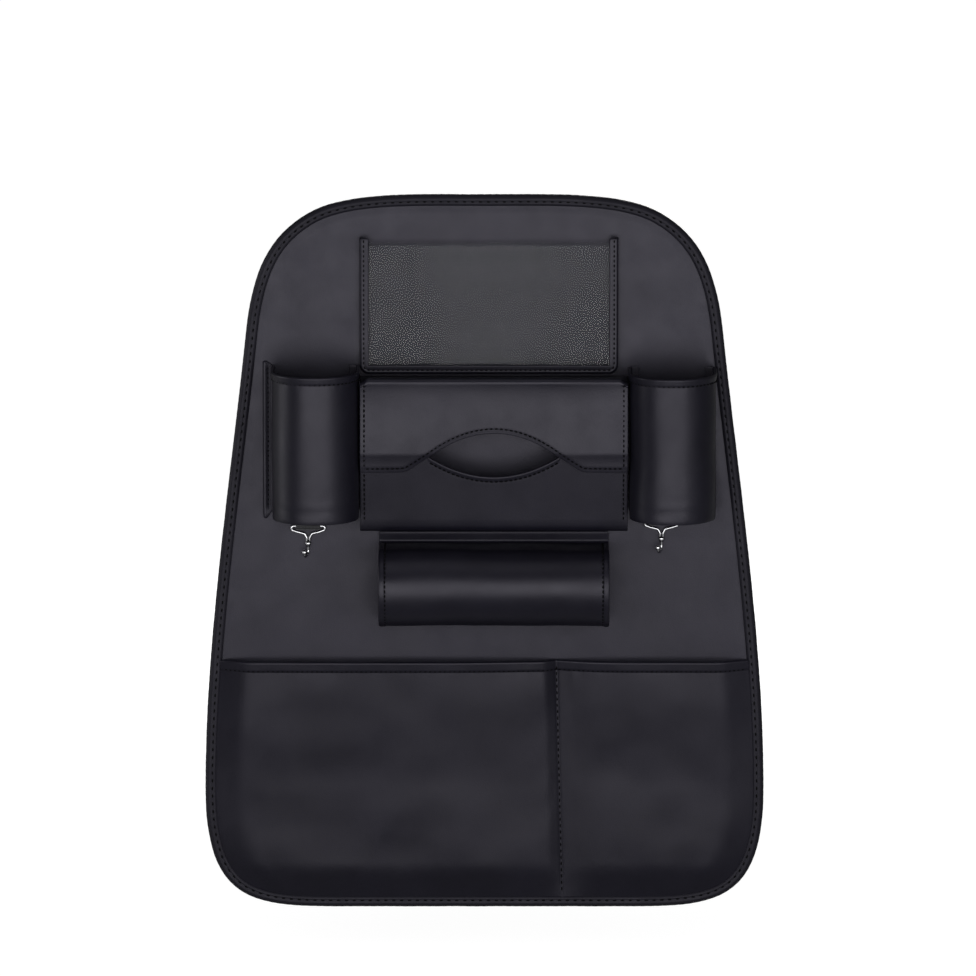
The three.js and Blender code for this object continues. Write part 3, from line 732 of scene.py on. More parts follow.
@finish_named("moulded_plastic", Specular_IOR_Level=0.45)
def plastic_material(tree, place):
    """Moulded plastic with a fine spark-eroded texture, its edges painted lighter as rubbed wear and as a
    painted highlight
    """
    colour = bpy.context.scene.organizer_hardware.plastic
    flow = mottled(tree, place, 60, 3)
    tint = tinted(tree, flow, colour, (0.35, 0.85), (0.65, 1.15))
    # The edges are painted lighter, partly as rubbed wear and partly as a painted highlight
    return {"Base_Color": wear_and_highlight_edges(tree, tint, shade(colour, 2.6)),
            "Roughness": ramp(tree, flow, (0.35, 0.42), (0.65, 0.52)),
            "Normal": bump(tree, mottled(tree, place, 2600, 3, 0.6), 0.35, 0.00006)}


@finish_named("chrome_plating", Metallic=1.0)
def chrome_material(tree, place):
    """Bright plating with faint handling marks"""
    marks = mottled(tree, place, 700, 4, 0.7)
    tint = tinted(tree, marks, bpy.context.scene.organizer_hardware.chrome, (0.35, 0.88), (0.6, 1.05))
    return {"Base_Color": tint, "Roughness": ramp(tree, marks, (0.4, 0.07), (0.7, 0.2)),
            "Normal": bump(tree, marks, 0.1, 0.00003)}


@finish_named("rippled_window_film", Base_Color=(0.03, 0.031, 0.037, 1), Alpha=0.16, IOR=1.45,
              Specular_IOR_Level=0.3)
def film_material(tree, place):
    """Clear supple film with slight ripples"""
    return {"Roughness": ramp(tree, mottled(tree, place, 320, 5, 0.75), (0.45, 0.05), (0.75, 0.16)),
            "Normal": bump(tree, mottled(tree, place, 22, 2, 0.4), 0.5, 0.002)}


@finish_named("pile", Roughness=0.9, Specular_IOR_Level=0.2, Sheen_Weight=0.3)
def tape_material(tree, place, size, depth):
    """Hook or loop face of a closing tape"""
    pile = node(tree, "TexVoronoi", Vector=place, Scale=1 / size).outputs["Distance"]
    return {"Base_Color": ramp(tree, pile, (0.1, 0.02), (0.8, 0.005)),
            "Normal": bump(tree, pile, 1.0, depth)}


@finish_named("pressed_board", Roughness=0.85, Specular_IOR_Level=0.2)
def board_material(tree, place):
    """Grey pressed board"""
    fibres = mottled(tree, place, 300, 6, 0.7)
    return {"Base_Color": ramp(tree, fibres, (0.3, (0.13, 0.125, 0.11)), (0.7, (0.2, 0.19, 0.17))),
            "Normal": bump(tree, fibres, 0.5, 0.0002)}


@finish_named("pale_floor", Base_Color=(0.34, 0.34, 0.34, 1), Roughness=0.95, Specular_IOR_Level=0.05)
def floor_material(tree, place):
    """Pale floor that glows white away from the shadow under the organizer"""
    away = node(tree, "VectorMath", {"operation": "LENGTH"}, place).outputs["Value"]
    near = ramp(tree, maths(tree, "MULTIPLY", away, 0.1), (0.06, 0.8), (0.2, 1.0))
    glow = node(tree, "Emission", Strength=maths(tree, "MULTIPLY", seen_or_mirrored(tree), near))
    both = node(tree, "AddShader", None, tree.nodes["Principled BSDF"].outputs[0], glow.outputs[0])
    tree.links.new(both.outputs[0], tree.nodes["Material Output"].inputs["Surface"])
    return {}


def seen_or_mirrored(tree):
    """1 for what is seen straight or through a clear film, and less in gloss"""
    path = node(tree, "LightPath")
    mirrored = bpy.context.scene.organizer_stage.mirrored
    gloss = maths(tree, "MULTIPLY", path.outputs["Is Glossy Ray"], mirrored)
    straight = maths(tree, "MAXIMUM", path.outputs["Is Camera Ray"], gloss)
    return maths(tree, "MAXIMUM", straight, path.outputs["Is Transmission Ray"])


# Sheets
def hem_rise(below, hem, doubled, step, flare, seam, seam_width):
    """How far a sheet stands out at its hem, at a distance below the rim: doubled down to a step,
    flared at the rim and drawn in along its seam"""
    band = doubled * ease(hem + step - below, step)
    return band + flare * max(1 - below / hem, 0) - seam * hump(below - hem, seam_width)


def paired_grids(rows, columns, pair_at):
    """Two matching grids: pair_at gives the outer and the inner point at a row and a column"""
    pairs = [[pair_at(row, column) for column in columns] for row in rows]
    return [[[pair[face] for pair in row] for row in pairs] for face in (0, 1)]


def lay(name, node_name, shape, flat, material=None, slot="pocket_leather", held="stretched",
        rests_on=("panel_leather",), **cut):
    """A finished sheet from its points and faces. Its flat size, how it is held, what it rests on and its
    cut are not used
    """
    piece = new_piece(name, *shape, material or leather_material(), slot, stands_for=[node_name])


# Panel
def panel_face_depth(x, height, inset):
    """Depth of the front leather: soft swells, and a dip where the binding presses it down"""
    swell = bpy.context.scene.organizer_leather.swell
    soft = swelling(x, height, 0.11, 1.3) * 0.5 + swelling(x, height, 0.045, 4.1) * 0.22
    board = ease(inset - BINDING_WIDTH * 0.8, BOARD_INSET - BINDING_WIDTH * 0.6)
    pucker = swelling(x, height, 0.012, 7.7) * 0.25 * hump(inset - BINDING_WIDTH, 0.006)
    return -EDGE_DIP * (1 - board) + min(0.0, (soft - 0.35) * swell * 0.8) + pucker * swell


def felt_depth(x, height, inset):
    lift = swelling(x, height, 0.08, 11.0) * 0.0002
    return lift - 0.0004 * hump(inset - BINDING_WIDTH, 0.005)


def dished_plate(steps, face, back):
    """Points and faces of a plate inside the outline, through rings from its edge inward"""
    loop = outline_loop(steps)
    edge = inset_loop(loop, RING_INSET)
    centre = Vector((0, CENTRE_HEIGHT))
    shares = [1 - (1 - k / 44) ** 1.15 for k in range(1, 45)]
    rings = [(inset_loop(loop, inset), inset) for inset in evenly(LEATHER + GAP, RING_INSET, 0.0017)]
    rings += [([p.lerp(centre, s) for p in edge], RING_INSET + s * SIDE) for s in shares]
    sections = []
    for k in range(len(loop)):
        line = [(ring[k], inset) for ring, inset in rings]
        section = [face(p.x, p.y, inset) for p, inset in reversed(line)]
        section += [back(p.x, p.y, inset) for p, inset in line[::6] + line[-1:]]
        sections.append(section)
    return lofted(sections, around=False, along=True)


class ORGANIZER_OT_panel(bpy.types.Operator):
    """Lay the front leather, the board and the felt lining"""

    bl_idname = "organizer.panel"
    bl_label = "Panel"

    def execute(self, context):
        low, high = boxes["back_lining"]

        def front(x, height, inset):
            return at(x, panel_face_depth(x, height, inset), height)

        def behind(x, height, inset):
            return front(x, height, inset) + Vector((0, LEATHER, 0))

        def felt_back(x, height, inset):
            return Vector((x, high.y - max(0, felt_depth(x, height, inset)), FOOT + height))

        def felt_front(x, height, inset):
            return Vector((x, low.y, FOOT + height))

        flat = (SIDE * 2, HEIGHT)
        cut = {"rests_on": ["stiffener_board"], "area": SIDE * 2 * HEIGHT * OUTLINE_SHARE}
        # The panel's leather is painted lighter than the pockets' (tone 1.3), as painted light
        lay("panel_leather", "front_panel", dished_plate(PANEL_STEPS, front, behind), flat,
            leather_material("panel_grain_leather", tone=1.3), "panel_leather", **cut)
        lay("felt_lining", "back_lining", dished_plate(FELT_STEPS, felt_back, felt_front), flat,
            felt_material(), "lining", **cut)
        frame["nodes"]["stiffener_board"].data.materials[0] = board_material()
        return {"FINISHED"}


# Binding
def binding_profile(stitch_share, thick, far):
    """Section of the folded strip as (inset, depth), with its seam pressed deeper at the holes"""
    middle = (thick + far) / 2
    reach = (thick - far) / 2
    pull = 0.00022 + 0.0003 * (1 - stitch_share)

    def crown(inset):
        edge = ease(BINDING_WIDTH - inset, 0.0012) * 0.0004
        seam = pull * hump(inset - BINDING_SEAM, 0.0007)
        belly = 0.00025 * sin(pi * min(inset / BINDING_SEAM, 1))
        ridge = 0.0002 * hump(inset - (BINDING_SEAM + BINDING_WIDTH) / 2, 0.0012)
        return edge + belly + ridge - seam - 0.0003

    face = []
    for inset in evenly(0.0034, BINDING_WIDTH, 0.00048, (BINDING_SEAM,)):
        drop = 0.0007 * ease(inset - 0.0066, BINDING_WIDTH - 0.0066)
        face.append((inset, crown(inset) - drop))
    edge_round = []
    for k in range(1, 10):
        turn = pi * k / 10
        edge_round.append((0.0034 * (1 - sin(turn)), middle + (reach - 0.0003) * cos(turn)))
    front = [(inset, thick + rise) for inset, rise in reversed(face)]
    back = [(inset, far - rise * 0.8) for inset, rise in face]
    inner_front = -EDGE_DIP + 0.0001
    inner_back = far + 0.0019
    inside = [
        (BINDING_WIDTH + 0.0003, inner_back - 0.0003),
        (BINDING_WIDTH - 0.0002, inner_back),
        (LEATHER * 1.2, inner_back),
        (LEATHER * 1.2, inner_front),
        (BINDING_WIDTH - 0.0002, inner_front),
        (BINDING_WIDTH + 0.0003, inner_front + 0.0004),
    ]
    return front + edge_round + back + inside


class ORGANIZER_OT_binding(bpy.types.Operator):
    """Fold the binding over the panel's edge and sew it down"""

    bl_idname = "organizer.binding"
    bl_label = "Binding"

    def execute(self, context):
        low, high = boxes["edge_binding"]
        thick, far = FRONT - low.y, FRONT - high.y
        loop = outline_loop(OUTLINE_STEPS)
        inward = [-side for side in sides(loop, closed=True)]
        closed = loop + loop[:1]
        along = lengths_along(closed)
        pitch = along[-1] / round(along[-1] / BINDING_PITCH)
        sections = []
        for k, (point, way) in enumerate(zip(loop, inward)):
            share = abs(sin(pi * along[k] / pitch))
            wobble = 0.00018 * swelling(along[k], 0, 0.02, 3.0) + 0.00012 * (share - 0.5)
            section = []
            for inset, depth in binding_profile(share, thick, far):
                place = point + way * (inset - wobble * (1 if inset < 0.004 else 0))
                section.append(at(place.x, depth, place.y))
            sections.append(section)
        # The binding's leather is painted darker (tone 0.8) as painted shade, besides its finer grain and
        # duller finish
        material = leather_material("binding_strip_leather", tone=0.8, dull=0.2, grain=0.8)
        lay("edge_binding_strip", "edge_binding", lofted(sections, along=True), (BINDING_CUT, along[-1]),
            material, "binding_leather", "folded", ["front_panel", "back_lining"])
        seam = [p + way * BINDING_SEAM for p, way in zip(closed, inward + inward[:1])]
        runs = [face_stitches([at(p.x, depth, p.y) for p in seam], BINDING_PITCH, 1.35, sense)
                for depth, sense in ((thick - 0.00055, -1), (far + 0.00035, 1))]
        sew("binding_thread", runs, "binding_leather")
        return {"FINISHED"}


# Screen pocket
class ORGANIZER_OT_screen_pocket(bpy.types.Operator):
    """Fold the screen pocket's frame and set its clear window"""

    bl_idname = "organizer.screen_pocket"
    bl_label = "Screen pocket"

    def execute(self, context):
        self.fold_frame()
        self.set_window()
        return {"FINISHED"}

    def fold_frame(self):
        low, high = boxes["screen_pocket_frame"]
        bottom, top = low.z - FOOT, high.z - FOOT
        depth = FRONT - low.y
        path = bent_path([
            (low.x, top), (low.x, bottom, SCREEN_CORNER), (high.x, bottom, SCREEN_CORNER), (high.x, top),
        ], 0.0022)
        inward = sides(path)
        section = bent_path([
            (LEATHER / 2, GAP), (LEATHER / 2, depth - LEATHER / 2, 0.0018),
            (SCREEN_STRIP, depth - LEATHER / 2),
        ], 0.0007)
        thickness = sides(section)
        along = lengths_along(path)

        def pair_at(k, j):
            (inset, level), side = section[j], thickness[j]
            soft = 0.0003 * swelling(along[k], 0, 0.03, 5.0)
            seam = 0.0003 * hump(inset - SCREEN_STRIP / 2, 0.0007)
            roll = 0.00025 * hump(inset - SCREEN_STRIP, 0.0012)
            rise = LEATHER / 2 + (roll - seam if level > depth / 2 else 0)
            pair = []
            for offset in (rise, -LEATHER / 2):
                place = path[k] + inward[k] * (inset + side.x * offset)
                pair.append(at(place.x, level + side.y * offset + soft * ease(level, depth), place.y))
            return pair

        grids = paired_grids(range(len(path)), range(len(section)), pair_at)
        lay("screen_frame_leather", "screen_pocket_frame", sheet_shell(*grids, 0.8),
            (SCREEN_CUT, along[-1]))
        seam = [p + way * SCREEN_STRIP / 2 for p, way in zip(path, inward)]
        sew("screen_frame_thread", [face_stitches([at(p.x, depth - 0.0002, p.y) for p in seam])])

    def set_window(self):
        low, high = boxes["screen_pocket_window"]
        corner = WINDOW_CORNER
        centre, half = (low.x + high.x) / 2, (high.x - low.x) / 2
        tall = high.z - low.z
        heights = [corner * (1 - cos(pi * k / 16)) for k in range(9)] + evenly(corner, tall, 0.004)[1:]

        def pair_at(up, share):
            cut = corner - sqrt(max(corner ** 2 - (corner - up) ** 2, 0)) if up < corner else 0
            x = centre + share * (half - cut)
            calm = ease(1 - abs(share), 0.08) * ease(up, 0.01)
            wave = 0.0007 * swelling(x, up, 0.06, 9.0) * calm
            face = Vector((x, low.y + max(wave, 0), low.z + up))
            return face, face + Vector((0, FILM, 0))

        grids = paired_grids(heights, [k / 28 - 1 for k in range(57)], pair_at)
        lay("clear_window", "screen_pocket_window", sheet_shell(*grids, 0.5, 2), (half * 2, tall),
            film_material(), "clear_film", rests_on=["screen_frame_leather"])


# Drink pockets
def drink_rise(below_rim, along):
    """How far the drink pocket's outer face stands out, at a distance below its rim"""
    pucker = 0.00045 * swelling(along, 0, 0.005, 2.0) * hump(below_rim - DRINK_HEM, 0.0035)
    return hem_rise(below_rim, DRINK_HEM, 0.0004, 0.0012, 0.0009, 0.0003, 0.0008) + pucker


class ORGANIZER_OT_drink_pockets(bpy.types.Operator):
    """Bend the two round drink pockets and set their bottoms"""

    bl_idname = "organizer.drink_pockets"
    bl_label = "Drink pockets"

    def execute(self, context):
        for side, flange in (("left", True), ("right", False)):
            self.make_wall(side, flange)
            self.make_base(side)
        return {"FINISHED"}

    def make_wall(self, side, flange):
        low, high = boxes[f"{side}_drink_pocket_wall"]
        base_low, base_high = boxes[f"{side}_drink_pocket_base"]
        centre = (base_low.x + base_high.x) / 2
        radius = (FRONT - low.y - GAP) / 2
        mid = radius - LEATHER / 2
        front_depth = radius + GAP + mid
        bottom = low.z - FOOT
        tip = FLANGE_TIP if flange else 0.0
        top = high.z - FOOT - tip + DRINK_LIFT
        start = -radius - FLANGE_WIDTH if flange else DRINK_TURN_IN - mid
        path = bent_path([
            (start, SEWN), (-mid, SEWN, DRINK_BEND), (-mid, front_depth, mid),
            (mid, front_depth, mid), (mid, SEWN, DRINK_BEND), (mid - DRINK_TURN_IN, SEWN),
        ], 0.0016)
        outward = sides(path)
        along = lengths_along(path)
        heights = towards_rim(bottom, top, 0.003, 0.012)

        def pair_at(height, k):
            point, way = path[k], outward[k]
            free = ease(point.y - SEWN, 0.008)
            aside = ease(-radius - point.x, 0.006)
            lift = tip * aside * ease(height - top + 0.02, 0.02)
            lift -= 0.006 * aside * ease(bottom + 0.02 - height, 0.02)
            lean = 0.0011 * swelling(point.x, height, 0.05, 20.0 + start * 100) * free
            wrinkle = 0.00035 * swelling(point.x * 0.3, height, 0.006, 31.0)
            wrinkle *= free * hump(height - bottom - 0.012, 0.012)
            rise = drink_rise(top - height, along[k]) * free
            groove = 0.0005 * hump(point.x + radius + FLANGE_SEAM, 0.0011) if flange else 0.0
            groove -= 0.0012 * ease(-radius - point.x, FLANGE_WIDTH)
            place = point + way * (lean + wrinkle)
            pair = [place + way * offset for offset in (LEATHER / 2 + rise - groove, -LEATHER / 2)]
            return [at(centre + p.x, max(p.y, GAP), height + lift) for p in pair]

        lay(f"{side}_drink_leather", f"{side}_drink_pocket_wall",
            sheet_shell(*paired_grids(heights, range(len(path)), pair_at)), (along[-1], top - bottom))
        rim, rim_out = [], []
        for point, way in zip(path, outward):
            if point.y > SEWN + 0.006:
                here = point + way * (LEATHER / 2 + 0.00015)
                rim.append(at(centre + here.x, here.y, top - DRINK_HEM))
                rim_out.append(Vector((way.x, -way.y, 0)))
        runs = [stitches(rim, rim_out)]
        if flange:
            runs.append(face_stitches([
                at(centre - radius - FLANGE_SEAM, SEWN + LEATHER / 2 - THREAD_SUNK, z)
                for z in evenly(bottom + 0.003, top, 0.004)]))
        sew(f"{side}_drink_thread", runs)

    def make_base(self, side):
        low, high = boxes[f"{side}_drink_pocket_base"]
        centre = (low.x + high.x) / 2
        inside = (high.x - low.x) / 2
        back, front = FRONT - high.y, FRONT - low.y
        thick = high.z - low.z
        rim = bent_path([
            (0, back), (inside, back, DRINK_BEND), (inside, front, inside),
            (-inside, front, inside), (-inside, back, DRINK_BEND), (0, back),
        ], 0.003)[:-1]
        middle = Vector((0, front - inside))
        shares = (0, 0.02, 0.05, 0.1, 0.25, 0.5, 0.75, 0.97)
        sections = []
        for point in rim:
            section = []
            for face, level, ring in ((1, high.z, reversed(shares)), (-1, low.z, shares)):
                for share in ring:
                    here = point.lerp(middle, share)
                    z = level - face * thick * 0.35 * (1 - min(share / 0.05, 1)) ** 2
                    dish = 0.0008 * ease(share, 0.9)
                    section.append(Vector((centre + here.x, FRONT - here.y, z - dish)))
            sections.append(section)
        points, faces = lofted(sections, around=False, along=True)
        count = len(sections[0])
        faces.append(tuple(k * count for k in range(len(sections))))
        faces.append(tuple(k * count + count - 1 for k in reversed(range(len(sections)))))
        lay(f"{side}_drink_base_leather", f"{side}_drink_pocket_base", (points, faces),
            (inside * 2, front - back), held="laid", rests_on=[f"{side}_drink_leather"],
            area=inside * 2 * (front - back) * 0.85)


# Box pocket
def flap_edge(offset):
    """Height of the flap's lower edge, at a distance from the pocket's middle"""
    out = abs(offset)
    low = boxes["box_pocket_flap"][0].z - FOOT
    if out < EYE_HALF:
        return mix(EYE_TOP, EYE_END, (out / EYE_HALF) ** 2)
    above = (EYE_END - low) * (1 - (out - EYE_HALF) / EYE_SLOPE)
    return low + softened(above, EYE_CORNER)


def tray_edge(offset):
    """Height of the tray's upper edge, at a distance from the pocket's middle"""
    out = abs(offset)
    if out < EYE_HALF:
        return mix(EYE_BOTTOM, EYE_END, (out / EYE_HALF) ** 2)
    return boxes["box_pocket_tray"][1].z - FOOT


def rim_rise(distance, curl=RIM_CURL):
    """How far a turned and sewn edge stands out, at a distance from it: it curls inward"""
    seam = 0.0002 * hump(distance - SEAM_INSET, 0.0009)
    return -curl * (1 - ease(distance, SEAM_INSET * 1.4)) - seam


def flap_depth(height, top, full):
    """Depth of the flap's outer face: a ridge at its fold, a belly, a crease, and a hollow band"""
    down = top - height
    if height >= FLAP_CREASE:
        ridge = FLAP_RIDGE * exp(-down / 0.0085)
        return mix(full - FLAP_RIDGE, full, ease(down - 0.006, top - FLAP_CREASE)) + ridge
    low = boxes["box_pocket_flap"][0].z - FOOT
    left = (height - low) / (FLAP_CREASE - low)
    return mix(FLAP_LOW_DEPTH, full, left * left)


def tray_depth(height, full):
    """Depth of the tray's outer face, which leans back towards its bottom"""
    top = boxes["box_pocket_tray"][1].z - FOOT
    return full - TRAY_LEAN * (top - height) / TRAY_LEAN_RUN


def fold_box_sheet(part, path_at, rise_at):
    """The flap or the tray, through a side line at each place across it, with its edges rolled"""
    low, high = boxes[f"box_pocket_{part}"]
    half, centre = (high.x - low.x) / 2, (low.x + high.x) / 2
    marks = (EYE_HALF, EYE_HALF + EYE_SLOPE)
    right = towards_rim(0, half, 0.002, 0.008, marks)
    offsets = [-x for x in reversed(right[1:])] + right
    paths = [path_at(offset) for offset in offsets]
    outwards = [sides(path) for path in paths]

    def pair_at(row, k):
        offset, point, way = offsets[row], paths[row][k], outwards[row][k]
        rise = rise_at(offset, point)
        pair = [point + way * reach for reach in (LEATHER / 2 + rise, min(rise, 0) / 2 - LEATHER / 2)]
        return [at(centre + offset, max(p.x, GAP), p.y) for p in pair]

    grids = paired_grids(range(len(offsets)), range(len(paths[0])), pair_at)
    lay(f"{part}_leather", f"box_pocket_{part}", sheet_shell(*grids),
        (half * 2, lengths_along(paths[0])[-1]))


class ORGANIZER_OT_box_pocket(bpy.types.Operator):
    """Fold the box pocket's flap over its tray"""

    bl_idname = "organizer.box_pocket"
    bl_label = "Box pocket"

    def execute(self, context):
        self.make_flap()
        self.make_tray()
        self.make_tapes()
        return {"FINISHED"}

    def make_flap(self):
        low, high = boxes["box_pocket_flap"]
        half, centre = (high.x - low.x) / 2, (low.x + high.x) / 2
        back = high.z - FOOT
        top = back + FLAP_PUFF
        full = FRONT - low.y
        front_top = top - 0.0045
        over = bent_path([
            (SEWN, back - BOX_SEWN),
            (SEWN, back - LEATHER / 2, 0.002),
            (full - 0.0012 - LEATHER / 2, top - LEATHER / 2, 0.003),
            (flap_depth(front_top, top, full) - LEATHER / 2, front_top),
        ], 0.002)

        def path_at(offset):
            heights = [mix(front_top, flap_edge(offset), k / FLAP_ROWS) for k in range(1, FLAP_ROWS + 1)]
            soft = 0.0007 * swelling(offset, 0.2, 0.06, 2.0)
            depths = [flap_depth(z, top, full) - LEATHER / 2 + soft * sin(pi * (top - z) / 0.076)
                      for z in heights]
            front = [Vector(point) for point in zip(depths, heights)]
            droop = FLAP_DROOP * ease(abs(offset) - half + 0.007, 0.007)
            return [Vector((p.x, p.y - droop * p.x / full)) for p in over] + front

        def rise_at(offset, point):
            if point.x < full * 0.8:
                return 0.0
            slope = 0.6 if abs(offset) < EYE_HALF + EYE_SLOPE else 0.0
            from_edge = (point.y - flap_edge(offset)) * cos(atan(slope))
            swell = 0.0005 * swelling(offset, point.y, 0.035, 6.0)
            return rim_rise(from_edge) + rim_rise(half - abs(offset), RIM_CURL / 2) + swell

        def on_face(offset, z):
            return at(centre + offset, flap_depth(z, top, full) - THREAD_SUNK, z)

        fold_box_sheet("flap", path_at, rise_at)
        levels = evenly(flap_edge(half) + 0.004, front_top, 0.002)
        runs = [face_stitches([on_face(end * (half - SEAM_INSET), z) for z in levels]) for end in (-1, 1)]
        line = []
        for offset in evenly(-half + 0.004, half - 0.004, 0.002):
            slanted = 1.2 if abs(offset) < EYE_HALF + EYE_SLOPE else 1
            line.append(on_face(offset, flap_edge(offset) + SEAM_INSET * slanted))
        sew("flap_thread", [*runs, face_stitches(line)])

    def make_tray(self):
        low, high = boxes["box_pocket_tray"]
        half, centre = (high.x - low.x) / 2, (low.x + high.x) / 2
        back = low.z - FOOT
        bottom = back - TRAY_SAG
        full = FRONT - low.y
        front_bottom = bottom + 0.012
        under = bent_path([
            (SEWN, back + BOX_SEWN),
            (SEWN, back + LEATHER / 2, 0.002),
            (tray_depth(bottom, full) - LEATHER, bottom + LEATHER / 2, 0.008),
            (tray_depth(front_bottom, full) - LEATHER / 2, front_bottom),
        ], 0.002)
        under.reverse()

        def path_at(offset):
            heights = [mix(tray_edge(offset), front_bottom, k / TRAY_ROWS) for k in range(TRAY_ROWS)]
            return [Vector((tray_depth(z, full) - LEATHER / 2, z)) for z in heights] + under

        def rise_at(offset, point):
            free = ease(point.y - bottom - 0.004, 0.016) * ease(point.x - full / 2, 0.004)
            flare = rim_rise(tray_edge(offset) - point.y, -RIM_CURL * 0.7)
            swell = 0.0004 * swelling(offset, point.y, 0.04, 16.0)
            swell -= softened(swell - 0.0002, 0.0003)
            return (flare + rim_rise(half - abs(offset), RIM_CURL / 2) + swell) * free

        def on_face(offset, z, inset=0.0):
            return at(centre + offset, tray_depth(z, full) - THREAD_SUNK, z - inset)

        fold_box_sheet("tray", path_at, rise_at)
        levels = evenly(front_bottom, tray_edge(half) - 0.018, 0.002)
        runs = [face_stitches([on_face(end * (half - SEAM_INSET), z) for z in levels]) for end in (-1, 1)]
        runs.append(face_stitches([on_face(x, tray_edge(x), SEAM_INSET * 1.2)
                                   for x in evenly(-EYE_HALF + 0.002, EYE_HALF - 0.002, 0.002)]))
        sew("tray_thread", runs)

    def make_tapes(self):
        for side in ("left", "right"):
            for kind, size, depth, seed in (("hook", 0.0011, 0.0004, 40.0), ("loop", 0.0006, 0.0003, 50.0)):
                low, high = boxes[f"{side}_flap_{kind}_tape"]
                xs = evenly(low.x + 0.0004, high.x - 0.0004, 0.0008)
                zs = evenly(low.z + 0.0004, high.z - 0.0004, 0.0008)

                def pair_at(z, x):
                    pile = 0.0003 * abs(swelling(x, z, size, seed))
                    return Vector((x, low.y + pile, z)), Vector((x, high.y, z))

                shape = sheet_shell(*paired_grids(zs, xs, pair_at), 0.5, 3)
                material = tape_material(f"{kind}_pile", size=size, depth=depth)
                new_piece(f"{side}_{kind}_tape", *shape, material, "hook_and_loop",
                          stands_for=[f"{side}_flap_{kind}_tape"])


# Roll sleeve
class ORGANIZER_OT_sleeve(bpy.types.Operator):
    """Roll the sleeve and sew its seams and hems"""

    bl_idname = "organizer.sleeve"
    bl_label = "Roll sleeve"

    def execute(self, context):
        low, high = boxes["roll_sleeve"]
        left, right = low.x, high.x
        radius = (FRONT - low.y - GAP) / 2 - 0.0004
        mid = radius - LEATHER / 2
        front_depth = radius + GAP + LEATHER / 2 + mid
        middle = high.z - FOOT - SLEEVE_SEAM - mid
        path = bent_path([
            (SEWN + 0.0023, middle + mid + SLEEVE_SEAM),
            (SEWN, middle + mid, SLEEVE_BEND),
            (front_depth, middle + mid, mid),
            (front_depth, middle - mid, mid),
            (SEWN, middle - mid, SLEEVE_BEND),
            (SEWN, middle - mid + SLEEVE_SEAM),
        ], 0.002)
        outward = sides(path)
        along = lengths_along(path)
        columns = evenly(left, left + SLEEVE_RIM, RIM_STEP)
        columns += evenly(left + SLEEVE_RIM, right - SLEEVE_RIM, 0.004)[1:-1]
        columns += evenly(right - SLEEVE_RIM, right, RIM_STEP)

        def pair_at(x, k):
            from_end = min(x - left, right - x)
            hem = hem_rise(from_end, SLEEVE_HEM, 0.0004, 0.001, 0, 0.00045, 0.0008)
            roll = 0.0003 * sin(pi * min(from_end / SLEEVE_HEM, 1))
            free = ease(path[k].x - SEWN, 0.010)
            sag = 0.0012 * swelling(x, along[k], 0.055, 60.0) * free
            pucker = 0.0002 * swelling(along[k], x, 0.006, 3.0) * hump(from_end - SLEEVE_HEM, 0.004)
            rise = LEATHER / 2 + (hem + roll + pucker) * free
            pair = [path[k] + outward[k] * (reach + sag) for reach in (rise, -LEATHER / 2)]
            return [at(x, max(p.x, GAP), p.y) for p in pair]

        lay("sleeve_leather", "roll_sleeve", sheet_shell(*paired_grids(columns, range(len(path)), pair_at)),
            (right - left, along[-1]))
        clear = [(point, way) for point, way in zip(path, outward) if point.x > SEWN + 0.004]
        ups = [Vector((0, -way.x, way.y)) for point, way in clear]
        rounds = [point + way * (LEATHER / 2 + THREAD_SUNK) for point, way in clear]
        runs = [stitches([at(x, p.x, p.y) for p in rounds], ups)
                for x in (left + SLEEVE_HEM, right - SLEEVE_HEM)]
        level = middle + mid + SLEEVE_SEAM * 0.62
        runs.append(face_stitches([at(x, SEWN + LEATHER / 2 - THREAD_SUNK, level)
                                   for x in evenly(left + 0.003, right - 0.003, 0.004)]))
        sew("sleeve_thread", runs)
        return {"FINISHED"}


# Lower pockets
def divider_at(height, top):
    """Sideways place of the seam that divides the lower sheet"""
    return mix(DIVIDER_BOTTOM, DIVIDER_TOP, height / top)


def lower_depth(x, height, reach, foot, top):
    """Depth of the lower sheet's back face: two soft bulges with the divider seam between them"""
    mouth = ease(height - top / 2, top / 2)
    bulge = mix(LOWER_BULGE, LOWER_MOUTH_BULGE, mouth)
    edges = stuffed(reach - abs(x), LOWER_RISE) * stuffed(height - foot, LOWER_RISE)
    aside = x - divider_at(height, top)
    valley = stuffed(aside, DIVIDER_RISE * 3) if aside > 0 else stuffed(-aside, DIVIDER_RISE)
    seam = mix(pillow(abs(aside), DIVIDER_REACH), valley, 0.5)
    slack = 0.0016 * swelling(x, height, 0.09, 70.0) + 0.0006 * swelling(x, height, 0.035, 80.0)
    pulled = 0.0007 * swelling(x * 3, height, 0.03, 90.0) * hump(abs(aside) - 0.008, 0.012)
    return GAP + (bulge + slack) * edges * seam + pulled * edges * seam


